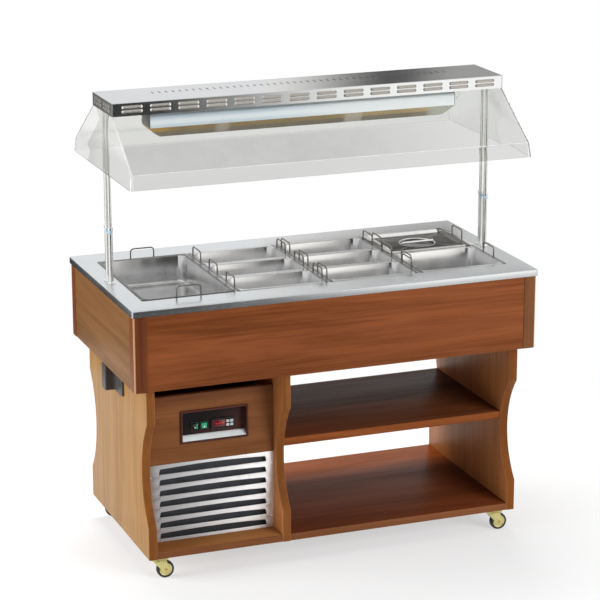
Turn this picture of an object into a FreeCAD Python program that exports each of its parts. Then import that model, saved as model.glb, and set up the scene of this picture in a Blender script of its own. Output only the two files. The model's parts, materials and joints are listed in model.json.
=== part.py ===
import FreeCAD, Part
import os
import re
import Sketcher

# Bain marie buffet counter: a wooden base and casing on casters, a steel worktop over a water tank
# with gastronorm pans, and a gantry with a heat lamp and a clear hood on telescopic posts.
# Millimetres. X runs along the counter, Y to the back, Z up; the origin is the floor's centre under it.

SIZES = {
    # Worktop and casing
    "end_margin": (68, "worktop beyond the pans at each end"),
    "side_margin": (110, "worktop beyond the pans at front and back"),
    "worktop_height": (956, "top of the worktop above the floor"),
    "rim_height": (22, "turned-down rim of the worktop"),
    "rim_corner": (5, "radius of the rim's upright corners"),
    "rim_bend": (2, "outer radius of the fold along the rim's top"),
    "top_sheet": (1.5, "steel of the worktop, the tank and the gantry"),
    "rim_overhang": (4, "worktop edge beyond the casing"),
    "casing_height": (277.5, "casing from its underside to the worktop's sheet"),
    "casing_panel": (20, "thickness of the casing's panels"),
    "casing_floor": (18, "thickness of the casing's floor board"),
    "corner_post": (45, "side of a casing corner post"),
    "corner_radius": (18, "rounding of a corner post's outer edge"),
    "panel_setback": (1.5, "casing panel behind the face of the corner posts"),
    # Base
    "base_inset_x": (49, "base panels inside the casing's ends"),
    "base_inset_y": (34, "base panels behind the casing's front and back"),
    "side_thickness": (29, "thickness of the side and partition panels"),
    "waist_foot": (110, "straight edge of a panel below its waist"),
    "waist_head": (124, "straight edge of a panel above its waist"),
    "waist_depth": (66, "how far the waist is hollowed"),
    "board_thickness": (25, "thickness of the bottom boards"),
    "board_setback": (2, "bottom board behind the panel edges"),
    "shelf_height": (424, "top of the mid shelf above the floor"),
    "shelf_thickness": (27, "thickness of the mid shelf"),
    "shelf_setback": (68, "mid shelf behind the panel edges"),
    "unit_width": (446, "clear width of the technical compartment"),
    # Wells and pans
    "gn_length": (530, "gastronorm module length"),
    "gn_width": (325, "gastronorm module width"),
    "column_gap": (4, "gap between pan columns"),
    "rest_width": (10, "ledge that a pan flange rests on"),
    "bar_height": (12, "height of a cross bar"),
    "fit_gap": (0.3, "clearance of a dropped-in or passing piece"),
    "tank_depth": (190, "depth of the water tank"),
    "pan_gap": (0.5, "play between neighbouring pans"),
    "pan_sheet": (1.2, "steel of the pans and the lid"),
    "pan_flange": (12.5, "width of a pan's flange"),
    "pan_depth": (100, "depth of the pans"),
    "pan_corner": (30, "radius of a pan's upright corners"),
    "pan_bottom_radius": (15, "radius round a pan's bottom"),
    "flange_corner": (6, "radius of a flange's corners"),
    "handle_span": (84, "width of a handle loop between wire centres"),
    "handle_height": (38, "height of a handle loop above the flange"),
    "handle_bend": (12, "bend radius of a handle loop"),
    "handle_wire": (5, "wire of the handles"),
    "dish_diameter": (122, "dish in the lid"),
    "dish_depth": (24, "depth of the lid's dish"),
    "grip_diameter": (9, "grip bar across the dish"),
    "lid_bead": (4, "width of the lid's raised edge"),
    "lid_bead_height": (3, "height of the lid's raised edge"),
    # Heating and drain
    "element_diameter": (8.5, "tube of the heating element"),
    "element_pitch": (110, "distance between the element's legs"),
    "element_rise": (25, "element above the tank's bottom"),
    "element_margin": (60, "element short of the tank's ends"),
    "element_stub": (24, "element ends outside the tank"),
    "element_nut": (22, "diameter of the element's nuts"),
    "element_nut_height": (8, "height of the element's nuts"),
    "drain_diameter": (34, "outside of the drain pipe"),
    "drain_wall": (3, "wall of the drain pipe and its cap"),
    "drain_flange": (62, "flange of the drain under the tank"),
    "drain_flange_height": (4, "thickness of the drain flange"),
    "drain_reach": (77, "drain pipe below the casing"),
    "drain_cap_height": (18, "height of the drain cap"),
    "drain_y": (140, "drain behind the counter's middle"),
    # Technical compartment
    "front_recess": (89, "compartment front behind the panel edges"),
    "front_panel": (18, "thickness of the compartment's front and back panels"),
    "front_gap": (63, "gap above the compartment's front panel"),
    "front_height": (237, "height of the compartment's front panel"),
    "grille_sheet": (1.5, "steel of the grille"),
    "louvre_margin": (38, "grille left plain beside the louvres"),
    "louvre_count": (7, "louvres in the grille"),
    "louvre_edge": (7.5, "grille beyond the pitches of its louvres"),
    "louvre_share": (0.43, "open share of a louvre's pitch"),
    "screw_head": (8, "head of a grille screw"),
    "screw_head_height": (2.4, "height of a screw head"),
    "screw_shank": (4, "shank of a grille screw"),
    "screw_length": (12, "length of a screw's shank"),
    "screw_inset": (8, "screws from the grille's ends"),
    "screw_rise": (42, "screws from the grille's upper and lower edges"),
    "bezel_width": (240, "width of the control bezel"),
    "bezel_height": (116, "height of the control bezel"),
    "bezel_rim": (7, "rim of the bezel round its recess"),
    "bezel_proud": (6, "bezel in front of the wooden panel"),
    "bezel_recess": (24, "recess of the bezel behind the wooden panel's face"),
    "bezel_wall": (2.5, "wall of the bezel's recess"),
    "bezel_offset": (11.5, "bezel's middle right of the compartment's middle"),
    "bezel_drop": (115, "bezel's middle below the front panel's top"),
    "control_drop": (7, "controls below the bezel's middle"),
    "strip_height": (17, "bare strip under the controls"),
    "strip_drop": (43, "strip's middle below the bezel's middle"),
    "strip_proud": (1, "strip in front of the bezel's floor"),
    "switch_offset": (-61.5, "first switch from the bezel's middle"),
    "switch_pitch": (32.5, "distance between the switches"),
    "switch_width": (30, "width of a switch frame"),
    "switch_height": (30, "height of a switch frame"),
    "switch_rim": (3, "rim of a switch frame"),
    "switch_proud": (4, "switch frame in front of the bezel's floor"),
    "switch_body": (20, "switch body behind the bezel's floor"),
    "rocker_gap": (1.4, "room above and below a rocker"),
    "rocker_side_gap": (0.5, "room beside a rocker"),
    "rocker_proud": (3, "rocker ends in front of the switch frame"),
    "rocker_depth": (9, "depth of a rocker"),
    "rocker_tilt": (8, "tilt of a rocker from its middle, degrees"),
    "rocker_pin": (3, "pivot pin of a rocker"),
    "pin_clearance": (0.05, "running clearance of pins, axles and tubes"),
    "thermostat_offset": (36.5, "thermostat from the bezel's middle"),
    "thermostat_width": (84, "width of the thermostat"),
    "thermostat_height": (38, "height of the thermostat"),
    "thermostat_proud": (8, "thermostat in front of the bezel's floor"),
    "thermostat_body": (45, "thermostat body behind the bezel's floor"),
    "thermostat_rim": (3, "thermostat front beyond its body"),
    "key_width": (11, "width of a thermostat key"),
    "key_height": (9, "height of a thermostat key"),
    "key_pitch_x": (14, "keys side by side"),
    "key_pitch_z": (13, "keys one above the other"),
    "key_offset": (24, "keys' middle from the thermostat's middle"),
    "key_depth": (5, "depth of a key"),
    "key_proud": (1.2, "key in front of the thermostat"),
    "key_travel_room": (1.5, "room behind a key"),
    "control_box_depth": (100, "control box from the partition"),
    "control_box_width": (180, "control box along the partition"),
    "control_box_height": (160, "height of the control box"),
    "control_box_low": (400, "underside of the control box above the floor"),
    "control_box_wall": (2, "wall of the control box"),
    "gland_diameter": (26, "cable gland"),
    "gland_bore": (12, "bore of the cable gland"),
    "gland_proud": (18, "gland behind the back panel"),
    "gland_height": (180, "gland above the floor"),
    "bracket_reach": (50, "side bracket out from the side panel"),
    "bracket_plate": (8, "thickness of the side bracket's plate"),
    "bracket_plate_front": (85, "bracket plate in front of the middle"),
    "bracket_plate_back": (45, "bracket plate behind the middle"),
    "bracket_plate_height": (100, "height of the bracket's plate"),
    "bracket_lug_front": (36, "bracket lug in front of the middle"),
    "bracket_lug_back": (10, "bracket lug behind the middle"),
    "bracket_lug_height": (88, "height of the bracket's lug"),
    # Posts, gantry, hood and lamp
    "post_inset": (37, "posts from the worktop's ends"),
    "post_y": (18, "posts from the middle across the counter"),
    "post_inner": (13.5, "inner post tube"),
    "post_outer": (16.5, "outer post tube"),
    "post_bore_wall": (1.2, "wall of the inner post tube"),
    "post_rise": (193, "outer tubes above the worktop"),
    "post_below": (166, "outer tubes below the worktop's top"),
    "post_overlap": (190, "inner tube inside the outer tube"),
    "post_ring": (20, "ring at the top of an outer tube"),
    "post_ring_height": (9, "height of that ring"),
    "post_collar": (28, "collar on the worktop"),
    "post_collar_height": (5, "height of that collar"),
    "gantry_inset": (25, "gantry shelf from the worktop's ends"),
    "gantry_depth": (229, "depth of the gantry shelf"),
    "gantry_rise": (628, "top of the gantry shelf above the worktop"),
    "gantry_height": (44, "height of the gantry shelf"),
    "vent_columns": (14, "louvre columns along the gantry"),
    "vent_pitch": (97, "pitch of the gantry's louvres"),
    "vent_length": (70, "length of a gantry louvre"),
    "vent_height": (5, "height of a gantry louvre"),
    "vent_row_gap": (14, "distance between the two louvre rows"),
    "end_vent_pitch": (100, "pitch of the louvres in the gantry's ends"),
    "slit_count": (45, "slits in the gantry's top"),
    "slit_pitch": (24, "pitch of the slits"),
    "slit_x": (10, "row of slits right of the shelf's middle"),
    "slit_y": (24, "slits behind the shelf's middle"),
    "slit_length": (28, "length of a slit"),
    "slit_width": (4, "width of a slit"),
    "hood_sheet": (3, "clear sheet of the hood"),
    "hood_collar": (14, "hood inside the gantry"),
    "hood_drop": (150, "fold of the hood below the gantry"),
    "lip_height": (49, "lip of the hood below its fold"),
    "hood_reach": (212.5, "fold of the hood beyond the gantry at front and back"),
    "hood_flare": (3, "fold of the hood beyond the gantry at its ends"),
    "lip_flare": (6, "flare of the lip on each side"),
    "lamp_inset": (148, "lamp housing from the gantry's ends"),
    "lamp_depth": (93, "depth of the lamp housing"),
    "lamp_height": (48, "height of the lamp housing"),
    "lamp_sheet": (1.2, "steel of the lamp housing and its reflector"),
    "lamp_drop": (14, "lamp housing's top below the gantry's lower edge"),
    "lamp_hanger": (40, "width of a lamp hanger"),
    "skirt_height": (34, "reflector skirt below the housing"),
    "skirt_collar": (12, "reflector inside the housing"),
    "skirt_draft": (20, "skirt drawn in at front and back"),
    "skirt_end_draft": (40, "skirt drawn in at the ends"),
    "heater_diameter": (11, "quartz tube of a heat lamp"),
    "heater_margin": (51, "heat lamps short of the housing's ends"),
    "heater_gap": (40, "gap between the heat lamps"),
    "heater_drop": (11, "heat lamps below the housing's lower edge"),
    "holder_width": (14, "ceramic lamp holder along the lamp"),
    "holder_depth": (24, "ceramic lamp holder across the lamp"),
    "holder_drop": (10, "ceramic lamp holder below the lamp's middle"),
    # Casters
    "caster_height": (78, "underside of the base above the floor"),
    "caster_inset_left": (39, "left casters' swivels from the base's end"),
    "caster_inset_right": (71, "right casters' swivels from the base's end"),
    "caster_inset_y": (32, "casters' swivels from the panel edges"),
    "caster_plate": (62, "side of a caster plate"),
    "caster_plate_thickness": (3, "thickness of a caster plate"),
    "race_diameter": (42, "swivel race"),
    "race_height": (6, "upper half of the swivel race"),
    "race_gap": (0.3, "running gap in the swivel race"),
    "race_lower": (2.7, "lower half of the swivel race"),
    "king_pin": (10, "king pin of a caster"),
    "king_head": (17, "head of the king pin"),
    "king_head_height": (2.4, "height of that head"),
    "fork_crown": (4, "thickness of a fork's crown"),
    "fork_cheek": (3, "thickness of a fork's cheeks"),
    "fork_inside": (26, "distance between a fork's cheeks"),
    "fork_front": (20, "fork crown ahead of the swivel"),
    "fork_back": (27, "fork crown behind the swivel"),
    "fork_foot": (18, "width of a cheek at the axle"),
    "trail": (25, "axle behind the swivel"),
    "wheel_diameter": (60, "wheel over the tyre"),
    "tyre_inner": (44, "wheel disc inside the tyre"),
    "tyre_width": (22, "width of the tyre"),
    "disc_width": (18, "width of the wheel disc"),
    "hub_diameter": (18, "hub of the wheel disc"),
    "hub_side_gap": (0.3, "room beside the hub"),
    "axle": (8, "axle of a caster wheel"),
    "axle_nut": (13, "nut of the axle"),
    "axle_nut_height": (5, "height of the axle nut"),
}
VALUES = {name: value for name, (value, words) in SIZES.items()}

doc = FreeCAD.newDocument("BainMarieCounter")
sheet = doc.addObject("Spreadsheet::Sheet", "Sizes")
for row, (name, (value, words)) in enumerate(SIZES.items(), start=1):
    sheet.set(f"A{row}", words)
    sheet.set(f"B{row}", str(value))
    sheet.setAlias(f"B{row}", name)
doc.recompute()

NODES = []
UP = FreeCAD.Vector(0, 0, 1)
ACROSS = FreeCAD.Vector(0, 1, 0)
ALONG = FreeCAD.Vector(1, 0, 0)
TURN = {
    "x": FreeCAD.Rotation(ACROSS, 90),
    "y": FreeCAD.Rotation(ALONG, -90),
    "z": FreeCAD.Rotation(),
}


# Helpers: every size and place is a formula of the sheet's cells


def formula(text):
    """The text with each size's name pointing at its cell."""
    def cell(match):
        word = match.group()
        return "Sizes." + word if word in VALUES else word
    return re.sub(r"[a-z][a-z_]*", cell, str(text))


def bind(item, **sizes):
    """Tie an object's properties to formulas."""
    for name, text in sizes.items():
        item.setExpression(name, formula(text))


def place(item, at, turn=None):
    """Put an object at a point given by three formulas, turned by a fixed rotation."""
    item.Placement = FreeCAD.Placement(FreeCAD.Vector(), turn or FreeCAD.Rotation())
    for axis, text in zip("xyz", at):
        item.setExpression("Placement.Base." + axis, formula(text))
    return item


def node(item, label):
    """Name an object as one piece of the counter."""
    item.Label = label
    NODES.append(item)
    return item


def slab(x, y, z):
    """A box between two formulas along each axis."""
    item = doc.addObject("Part::Box", "Slab")
    bind(item, Length=f"({x[1]}) - ({x[0]})", Width=f"({y[1]}) - ({y[0]})", Height=f"({z[1]}) - ({z[0]})")
    return place(item, (x[0], y[0], z[0]))


def rod(diameter, length, at, axis="z"):
    """A cylinder from a point along an axis."""
    item = doc.addObject("Part::Cylinder", "Rod")
    bind(item, Radius=f"({diameter}) / 2", Height=length)
    return place(item, at, TURN[axis])


def frustum(z, low, high):
    """A block that changes from one rectangle at its lower end to another at its upper end."""
    item = doc.addObject("Part::Wedge", "Frustum")
    (low_x, low_y), (high_x, high_y) = low, high
    bind(item, Ymin="0", Ymax=f"({z[1]}) - ({z[0]})")
    bind(item, Xmin=low_x[0], Xmax=low_x[1], Zmin=f"-({low_y[1]})", Zmax=f"-({low_y[0]})")
    bind(item, X2min=high_x[0], X2max=high_x[1], Z2min=f"-({high_y[1]})", Z2max=f"-({high_y[0]})")
    return place(item, ("0", "0", z[0]), FreeCAD.Rotation(ALONG, 90))


def bend(radius, wire, sweep, at, turn):
    """A stretch of a torus, starting on the turned X axis."""
    item = doc.addObject("Part::Torus", "Bend")
    bind(item, Radius1=radius, Radius2=f"({wire}) / 2")
    item.Angle3 = sweep
    return place(item, at, turn)


def fuse(*items):
    """One solid from several."""
    item = doc.addObject("Part::MultiFuse", "Fuse")
    item.Shapes = list(items)
    return item


def cut(base, *tools):
    """A solid with others taken away."""
    item = doc.addObject("Part::Cut", "Cut")
    item.Base = base
    item.Tool = tools[0] if len(tools) == 1 else fuse(*tools)
    return item


def group(*items):
    """Separate solids kept in one piece's file."""
    item = doc.addObject("Part::Compound", "Group")
    item.Links = list(items)
    return item


UPRIGHT_EDGES = (1, 3, 5, 7)
LOWER_EDGES = (4, 8, 9, 11)
UPPER_EDGES = (2, 6, 10, 12)


def rounded(base, **radii):
    """A slab with rounded edges: upright, lower and upper edges have a radius each."""
    edges = {"upright": UPRIGHT_EDGES, "lower": LOWER_EDGES, "upper": UPPER_EDGES}
    item = doc.addObject("Part::Fillet", "Rounded")
    item.Base = base
    item.Edges = [(edge, radius, radius) for kind, radius in radii.items() for edge in edges[kind]]
    return item


def both(half):
    """A stretch centred on zero."""
    return f"-({half})", f"{half}"


def about(middle, width):
    """A stretch centred on a formula."""
    return f"({middle}) - ({width}) / 2", f"({middle}) + ({width}) / 2"


# Places that several pieces share

COLUMN_ROWS = (1, 3, 3, 2)
COLUMNS = len(COLUMN_ROWS)
FIELD_X = f"(({COLUMNS} * gn_width + {COLUMNS - 1} * column_gap) / 2)"
FIELD_Y = "(gn_length / 2)"
WELL_X = f"({FIELD_X} - rest_width)"
WELL_Y = f"({FIELD_Y} - rest_width)"
TOP_UNDER = "(worktop_height - top_sheet)"
TANK_BOTTOM = f"({TOP_UNDER} - tank_depth)"
WORKTOP_X = f"({FIELD_X} + end_margin)"
WORKTOP_Y = f"({FIELD_Y} + side_margin)"
CASING_X = f"({WORKTOP_X} - rim_overhang)"
CASING_Y = f"({WORKTOP_Y} - rim_overhang)"
CASING_BOTTOM = f"({TOP_UNDER} - casing_height)"
PANEL_IN_X = f"({CASING_X} - panel_setback - casing_panel)"
PANEL_IN_Y = f"({CASING_Y} - panel_setback - casing_panel)"
BASE_X = f"({CASING_X} - base_inset_x)"
BASE_Y = f"({CASING_Y} - base_inset_y)"
WAIST_LOW = "(caster_height + waist_foot)"
WAIST_HIGH = f"({CASING_BOTTOM} - waist_head)"
UNIT_LEFT = f"(side_thickness - {BASE_X})"
PARTITION_LEFT = f"({UNIT_LEFT} + unit_width)"
PARTITION_RIGHT = f"({PARTITION_LEFT} + side_thickness)"
BAY_RIGHT = f"({BASE_X} - side_thickness)"
UNIT_MIDDLE = f"({UNIT_LEFT} + unit_width / 2)"
BOARD_TOP = "(caster_height + board_thickness)"
FACE_Y = f"(front_recess - {BASE_Y})"
FRONT_TOP = f"({CASING_BOTTOM} - front_gap)"
GRILLE_TOP = f"({FRONT_TOP} - front_height)"
BEZEL_Z = f"({FRONT_TOP} - bezel_drop)"
GANTRY_TOP = "(worktop_height + gantry_rise)"
GANTRY_UNDER = f"({GANTRY_TOP} - gantry_height)"
POST_JOINT = "(worktop_height + post_rise)"
POST_FOOT = "(worktop_height - post_below)"
SIGNS = [(-1, -1), (1, -1), (-1, 1), (1, 1)]
DRAIN_X = UNIT_MIDDLE
DRAIN_END = f"({CASING_BOTTOM} - drain_reach)"
ELEMENT_Z = f"({TANK_BOTTOM} + top_sheet + element_rise)"
LEG_Y = [f"({step} * element_pitch)" for step in (-1.5, -0.5, 0.5, 1.5)]
POST_PLACES = [(f"({sx} * ({WORKTOP_X} - post_inset))", f"({sy} * post_y)") for sx, sy in SIGNS]


# Base: waisted panels, boards and shelf


def waisted_panel(label, left):
    """An upright panel whose front and back edges are hollowed to a waist by an arc."""
    body = doc.addObject("PartDesign::Body", "Panel")
    sketch = body.newObject("Sketcher::SketchObject", "PanelOutline")
    plane = [item for item in body.Origin.OriginFeatures if item.Role == "YZ_Plane"][0]
    sketch.AttachmentSupport = [(plane, "")]
    sketch.MapMode = "FlatFace"
    half = VALUES["gn_length"] / 2 + VALUES["side_margin"] - VALUES["rim_overhang"] - VALUES["base_inset_y"]
    bottom = VALUES["caster_height"]
    top = VALUES["worktop_height"] - VALUES["top_sheet"] - VALUES["casing_height"]
    low, high = bottom + VALUES["waist_foot"], top - VALUES["waist_head"]
    radius = (((high - low) / 2) ** 2 + VALUES["waist_depth"] ** 2) / (2 * VALUES["waist_depth"])
    corners = [
        (-half, bottom, f"-{BASE_Y}", "caster_height"), (half, bottom, BASE_Y, "caster_height"),
        (half, low, BASE_Y, WAIST_LOW), (half, high, BASE_Y, WAIST_HIGH),
        (half, top, BASE_Y, CASING_BOTTOM), (-half, top, f"-{BASE_Y}", CASING_BOTTOM),
        (-half, high, f"-{BASE_Y}", WAIST_HIGH), (-half, low, f"-{BASE_Y}", WAIST_LOW),
    ]
    points = [FreeCAD.Vector(y, z, 0) for y, z, _, _ in corners]
    for index, start in enumerate(points):
        end = points[(index + 1) % len(points)]
        if index in (2, 6):
            side = 1 if index == 2 else -1
            centre = FreeCAD.Vector(side * (half - VALUES["waist_depth"] + radius), (low + high) / 2, 0)
            circle = Part.Circle(centre, UP, radius)
            first, last = circle.parameter(end), circle.parameter(start)
            sketch.addGeometry(Part.ArcOfCircle(circle, first, last), False)
        else:
            sketch.addGeometry(Part.LineSegment(start, end), False)
    # An arc runs against the outline's direction, so its two ends are swapped where it meets the lines
    for index in range(len(points)):
        following = (index + 1) % len(points)
        leave = 1 if index in (2, 6) else 2
        enter = 2 if following in (2, 6) else 1
        sketch.addConstraint(Sketcher.Constraint("Coincident", index, leave, following, enter))
    for index, (y, z, y_text, z_text) in enumerate(corners):
        end = 2 if index in (2, 6) else 1
        for kind, value, text in (("DistanceX", y, y_text), ("DistanceY", z, z_text)):
            number = sketch.addConstraint(Sketcher.Constraint(kind, -1, 1, index, end, value))
            name = f"{kind}{index}"
            sketch.renameConstraint(number, name)
            sketch.setExpression("Constraints." + name, formula(text))
    chord = f"(({WAIST_HIGH} - {WAIST_LOW}) / 2)"
    arc = formula(f"({chord}^2 + waist_depth^2) / (2 * waist_depth)")
    for index in (2, 6):
        number = sketch.addConstraint(Sketcher.Constraint("Radius", index, radius))
        name = f"Waist{index}"
        sketch.renameConstraint(number, name)
        sketch.setExpression("Constraints." + name, arc)
    pad = body.newObject("PartDesign::Pad", "PanelPad")
    pad.Profile = sketch
    bind(pad, Length="side_thickness")
    place(body, (left, "0", "0"))
    return node(body, label)


waisted_panel("left_side_panel", f"-{BASE_X}")
waisted_panel("partition_panel", PARTITION_LEFT)
waisted_panel("right_side_panel", BAY_RIGHT)

BOARD_Y = both(f"({BASE_Y} - board_setback)")
BOARD_Z = ("caster_height", BOARD_TOP)
node(group(
    slab((UNIT_LEFT, PARTITION_LEFT), BOARD_Y, BOARD_Z),
    slab((PARTITION_RIGHT, BAY_RIGHT), BOARD_Y, BOARD_Z),
), "bottom_boards")
node(slab(
    (PARTITION_RIGHT, BAY_RIGHT),
    both(f"({BASE_Y} - shelf_setback)"),
    ("shelf_height - shelf_thickness", "shelf_height"),
), "mid_shelf")


# Casing: corner posts, panels and floor

CASING_Z = (CASING_BOTTOM, TOP_UNDER)


def corner_block(sx, sy, z):
    """The square footprint of one corner post."""
    x = (f"-{CASING_X}", f"corner_post - {CASING_X}") if sx < 0 else (f"{CASING_X} - corner_post", CASING_X)
    y = (f"-{CASING_Y}", f"corner_post - {CASING_Y}") if sy < 0 else (f"{CASING_Y} - corner_post", CASING_Y)
    return slab(x, y, z)


def corner_post(sx, sy):
    """A corner post with its outer upright edge rounded."""
    edge = {(-1, -1): 1, (-1, 1): 3, (1, -1): 5, (1, 1): 7}[sx, sy]
    item = doc.addObject("Part::Fillet", "CornerPost")
    item.Base = corner_block(sx, sy, CASING_Z)
    item.Edges = [(edge, VALUES["corner_radius"], VALUES["corner_radius"])]
    return item


node(group(*[corner_post(sx, sy) for sx, sy in SIGNS]), "corner_posts")

LONG_X = both(f"({CASING_X} - corner_post)")
END_Y = both(f"({CASING_Y} - corner_post)")
node(group(
    slab(LONG_X, (f"panel_setback - {CASING_Y}", f"-{PANEL_IN_Y}"), CASING_Z),
    slab(LONG_X, (PANEL_IN_Y, f"{CASING_Y} - panel_setback"), CASING_Z),
), "casing_long_panels")
node(group(
    slab((f"panel_setback - {CASING_X}", f"-{PANEL_IN_X}"), END_Y, CASING_Z),
    slab((PANEL_IN_X, f"{CASING_X} - panel_setback"), END_Y, CASING_Z),
), "casing_end_panels")

FLOOR_Z = (CASING_BOTTOM, f"{CASING_BOTTOM} + casing_floor")
DRAIN_HOLE = rod("drain_diameter + 2 * fit_gap", "2 * casing_floor",
                 (DRAIN_X, "drain_y", f"{CASING_BOTTOM} - casing_floor / 2"))
node(cut(
    slab(both(PANEL_IN_X), both(PANEL_IN_Y), FLOOR_Z),
    DRAIN_HOLE,
    *[corner_block(sx, sy, FLOOR_Z) for sx, sy in SIGNS],
), "casing_floor")


# Worktop, tank, cross bars

RIM_Z = ("worktop_height - rim_height", "worktop_height")
THROUGH_RIM = ("worktop_height - 2 * rim_height", "worktop_height + rim_height")
post_holes = [
    rod("post_outer + 2 * fit_gap", "3 * rim_height", (x, y, "worktop_height - 2 * rim_height"))
    for x, y in POST_PLACES
]
node(cut(
    rounded(
        slab(both(WORKTOP_X), both(WORKTOP_Y), RIM_Z),
        upright=VALUES["rim_corner"], upper=VALUES["rim_bend"],
    ),
    slab(
        both(f"({WORKTOP_X} - top_sheet)"), both(f"({WORKTOP_Y} - top_sheet)"),
        ("worktop_height - 2 * rim_height", TOP_UNDER),
    ),
    slab(both(WELL_X), both(WELL_Y), THROUGH_RIM),
    *post_holes,
), "worktop")

tank_holes = [
    rod("element_diameter + 2 * fit_gap", "4 * top_sheet", (f"-{WELL_X} - 3 * top_sheet", y, ELEMENT_Z), "x")
    for y in (LEG_Y[0], LEG_Y[-1])
]
node(cut(
    slab(both(f"({WELL_X} + top_sheet)"), both(f"({WELL_Y} + top_sheet)"), (TANK_BOTTOM, TOP_UNDER)),
    slab(both(WELL_X), both(WELL_Y), (f"{TANK_BOTTOM} + top_sheet", "worktop_height")),
    rod("drain_diameter - 2 * drain_wall", "4 * top_sheet",
        (DRAIN_X, "drain_y", f"{TANK_BOTTOM} - top_sheet")),
    *tank_holes,
), "water_tank")


def cross_bar(number):
    """A bar across the well between two columns of pans, its top level with the worktop."""
    middle = f"({number} * gn_width + ({number} - 0.5) * column_gap - {FIELD_X})"
    return slab(
        about(middle, "(column_gap + 2 * rest_width)"),
        both(f"({WELL_Y} - fit_gap)"),
        ("worktop_height - bar_height", "worktop_height"),
    )


node(group(*[cross_bar(number) for number in range(1, COLUMNS)]), "pan_crossbars")


# Heating element and drain

LEG_START = [f"(-{WELL_X} - top_sheet - element_stub)", f"(element_margin - {WELL_X} + element_pitch / 2)"]
LEG_END = f"({WELL_X} - element_margin - element_pitch / 2)"


def element_leg(number):
    """One straight leg of the element; the outer legs run out through the tank's wall."""
    start = LEG_START[0] if number in (0, 3) else LEG_START[1]
    return rod("element_diameter", f"{LEG_END} - {start}", (start, LEG_Y[number], ELEMENT_Z), "x")


def element_bend(x, y, turn):
    """A half turn of the element between two legs."""
    return bend("element_pitch / 2", "element_diameter", 180, (x, y, ELEMENT_Z), FreeCAD.Rotation(UP, turn))


element_nuts = [
    rod("element_nut", "element_nut_height",
        (f"-{WELL_X} - top_sheet - element_nut_height", y, ELEMENT_Z), "x")
    for y in (LEG_Y[0], LEG_Y[-1])
]
node(fuse(
    *[element_leg(number) for number in range(len(LEG_Y))],
    element_bend(LEG_END, "-element_pitch", -90),
    element_bend(LEG_END, "element_pitch", -90),
    element_bend(LEG_START[1], "0", 90),
    *element_nuts,
), "heating_element")

drain_tube = cut(
    fuse(
        rod("drain_diameter", f"{TANK_BOTTOM} - {DRAIN_END}", (DRAIN_X, "drain_y", DRAIN_END)),
        rod("drain_flange", "drain_flange_height",
            (DRAIN_X, "drain_y", f"{TANK_BOTTOM} - drain_flange_height")),
    ),
    rod("drain_diameter - 2 * drain_wall", f"{TANK_BOTTOM} - {DRAIN_END} + 2 * drain_wall",
        (DRAIN_X, "drain_y", f"{DRAIN_END} - drain_wall")),
)
drain_cap = cut(
    rod("drain_diameter + 2 * drain_wall + 2 * pin_clearance", "drain_cap_height",
        (DRAIN_X, "drain_y", f"{DRAIN_END} - drain_wall")),
    rod("drain_diameter + 2 * pin_clearance", "drain_cap_height", (DRAIN_X, "drain_y", DRAIN_END)),
)
node(group(drain_tube, drain_cap), "drain_pipe")


# Technical compartment: panels, grille, controls

UNIT_X = (UNIT_LEFT, PARTITION_LEFT)
BEZEL_X = f"({UNIT_MIDDLE} + bezel_offset)"
BEZEL_FLOOR = f"({FACE_Y} + bezel_recess)"
OPENING_W = "(bezel_width - 2 * bezel_rim)"
OPENING_H = "(bezel_height - 2 * bezel_rim)"
TUB_W = f"({OPENING_W} + 2 * bezel_wall)"
TUB_H = f"({OPENING_H} + 2 * bezel_wall)"
CONTROL_Z = f"({BEZEL_Z} - control_drop)"

node(cut(
    slab(UNIT_X, (FACE_Y, f"{FACE_Y} + front_panel"), (GRILLE_TOP, FRONT_TOP)),
    slab(
        about(BEZEL_X, f"({TUB_W} + 2 * fit_gap)"),
        (f"{FACE_Y} - front_panel", f"{FACE_Y} + 2 * front_panel"),
        about(BEZEL_Z, f"({TUB_H} + 2 * fit_gap)"),
    ),
), "unit_front_panel")

GLAND_X = UNIT_MIDDLE
BACK_FACE = f"({BASE_Y} - front_recess)"
node(cut(
    slab(UNIT_X, (f"{BACK_FACE} - front_panel", BACK_FACE), (BOARD_TOP, CASING_BOTTOM)),
    rod("gland_diameter / 2 + gland_bore / 2 + 2 * fit_gap", "3 * front_panel",
        (GLAND_X, f"{BACK_FACE} - 2 * front_panel", "gland_height"), "y"),
), "unit_back_panel")
node(cut(
    fuse(
        rod("gland_diameter", "gland_proud", (GLAND_X, BACK_FACE, "gland_height"), "y"),
        rod("gland_diameter / 2 + gland_bore / 2", "front_panel + gland_proud",
            (GLAND_X, f"{BACK_FACE} - front_panel", "gland_height"), "y"),
    ),
    rod("gland_bore", "3 * front_panel + gland_proud",
        (GLAND_X, f"{BACK_FACE} - 2 * front_panel", "gland_height"), "y"),
), "cable_gland")

GRILLE_MIDDLE = f"(({BOARD_TOP} + {GRILLE_TOP}) / 2)"
LOUVRE_PITCH = f"(({GRILLE_TOP} - {BOARD_TOP} - 2 * louvre_edge) / louvre_count)"
GRILLE_Y = (FACE_Y, f"{FACE_Y} + grille_sheet")
SCREW_PLACES = [
    (x, z)
    for x in (f"({UNIT_LEFT} + screw_inset)", f"({PARTITION_LEFT} - screw_inset)")
    for z in (f"({BOARD_TOP} + screw_rise)", f"({GRILLE_TOP} - screw_rise)")
]


def grille_louvre(number):
    """One slot of the grille."""
    middle = f"({GRILLE_MIDDLE} + ({number} - (louvre_count - 1) / 2) * {LOUVRE_PITCH})"
    return slab(
        (f"{UNIT_LEFT} + louvre_margin", f"{PARTITION_LEFT} - louvre_margin"),
        (f"{FACE_Y} - grille_sheet", f"{FACE_Y} + 2 * grille_sheet"),
        about(middle, f"{LOUVRE_PITCH} * louvre_share"),
    )


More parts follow.
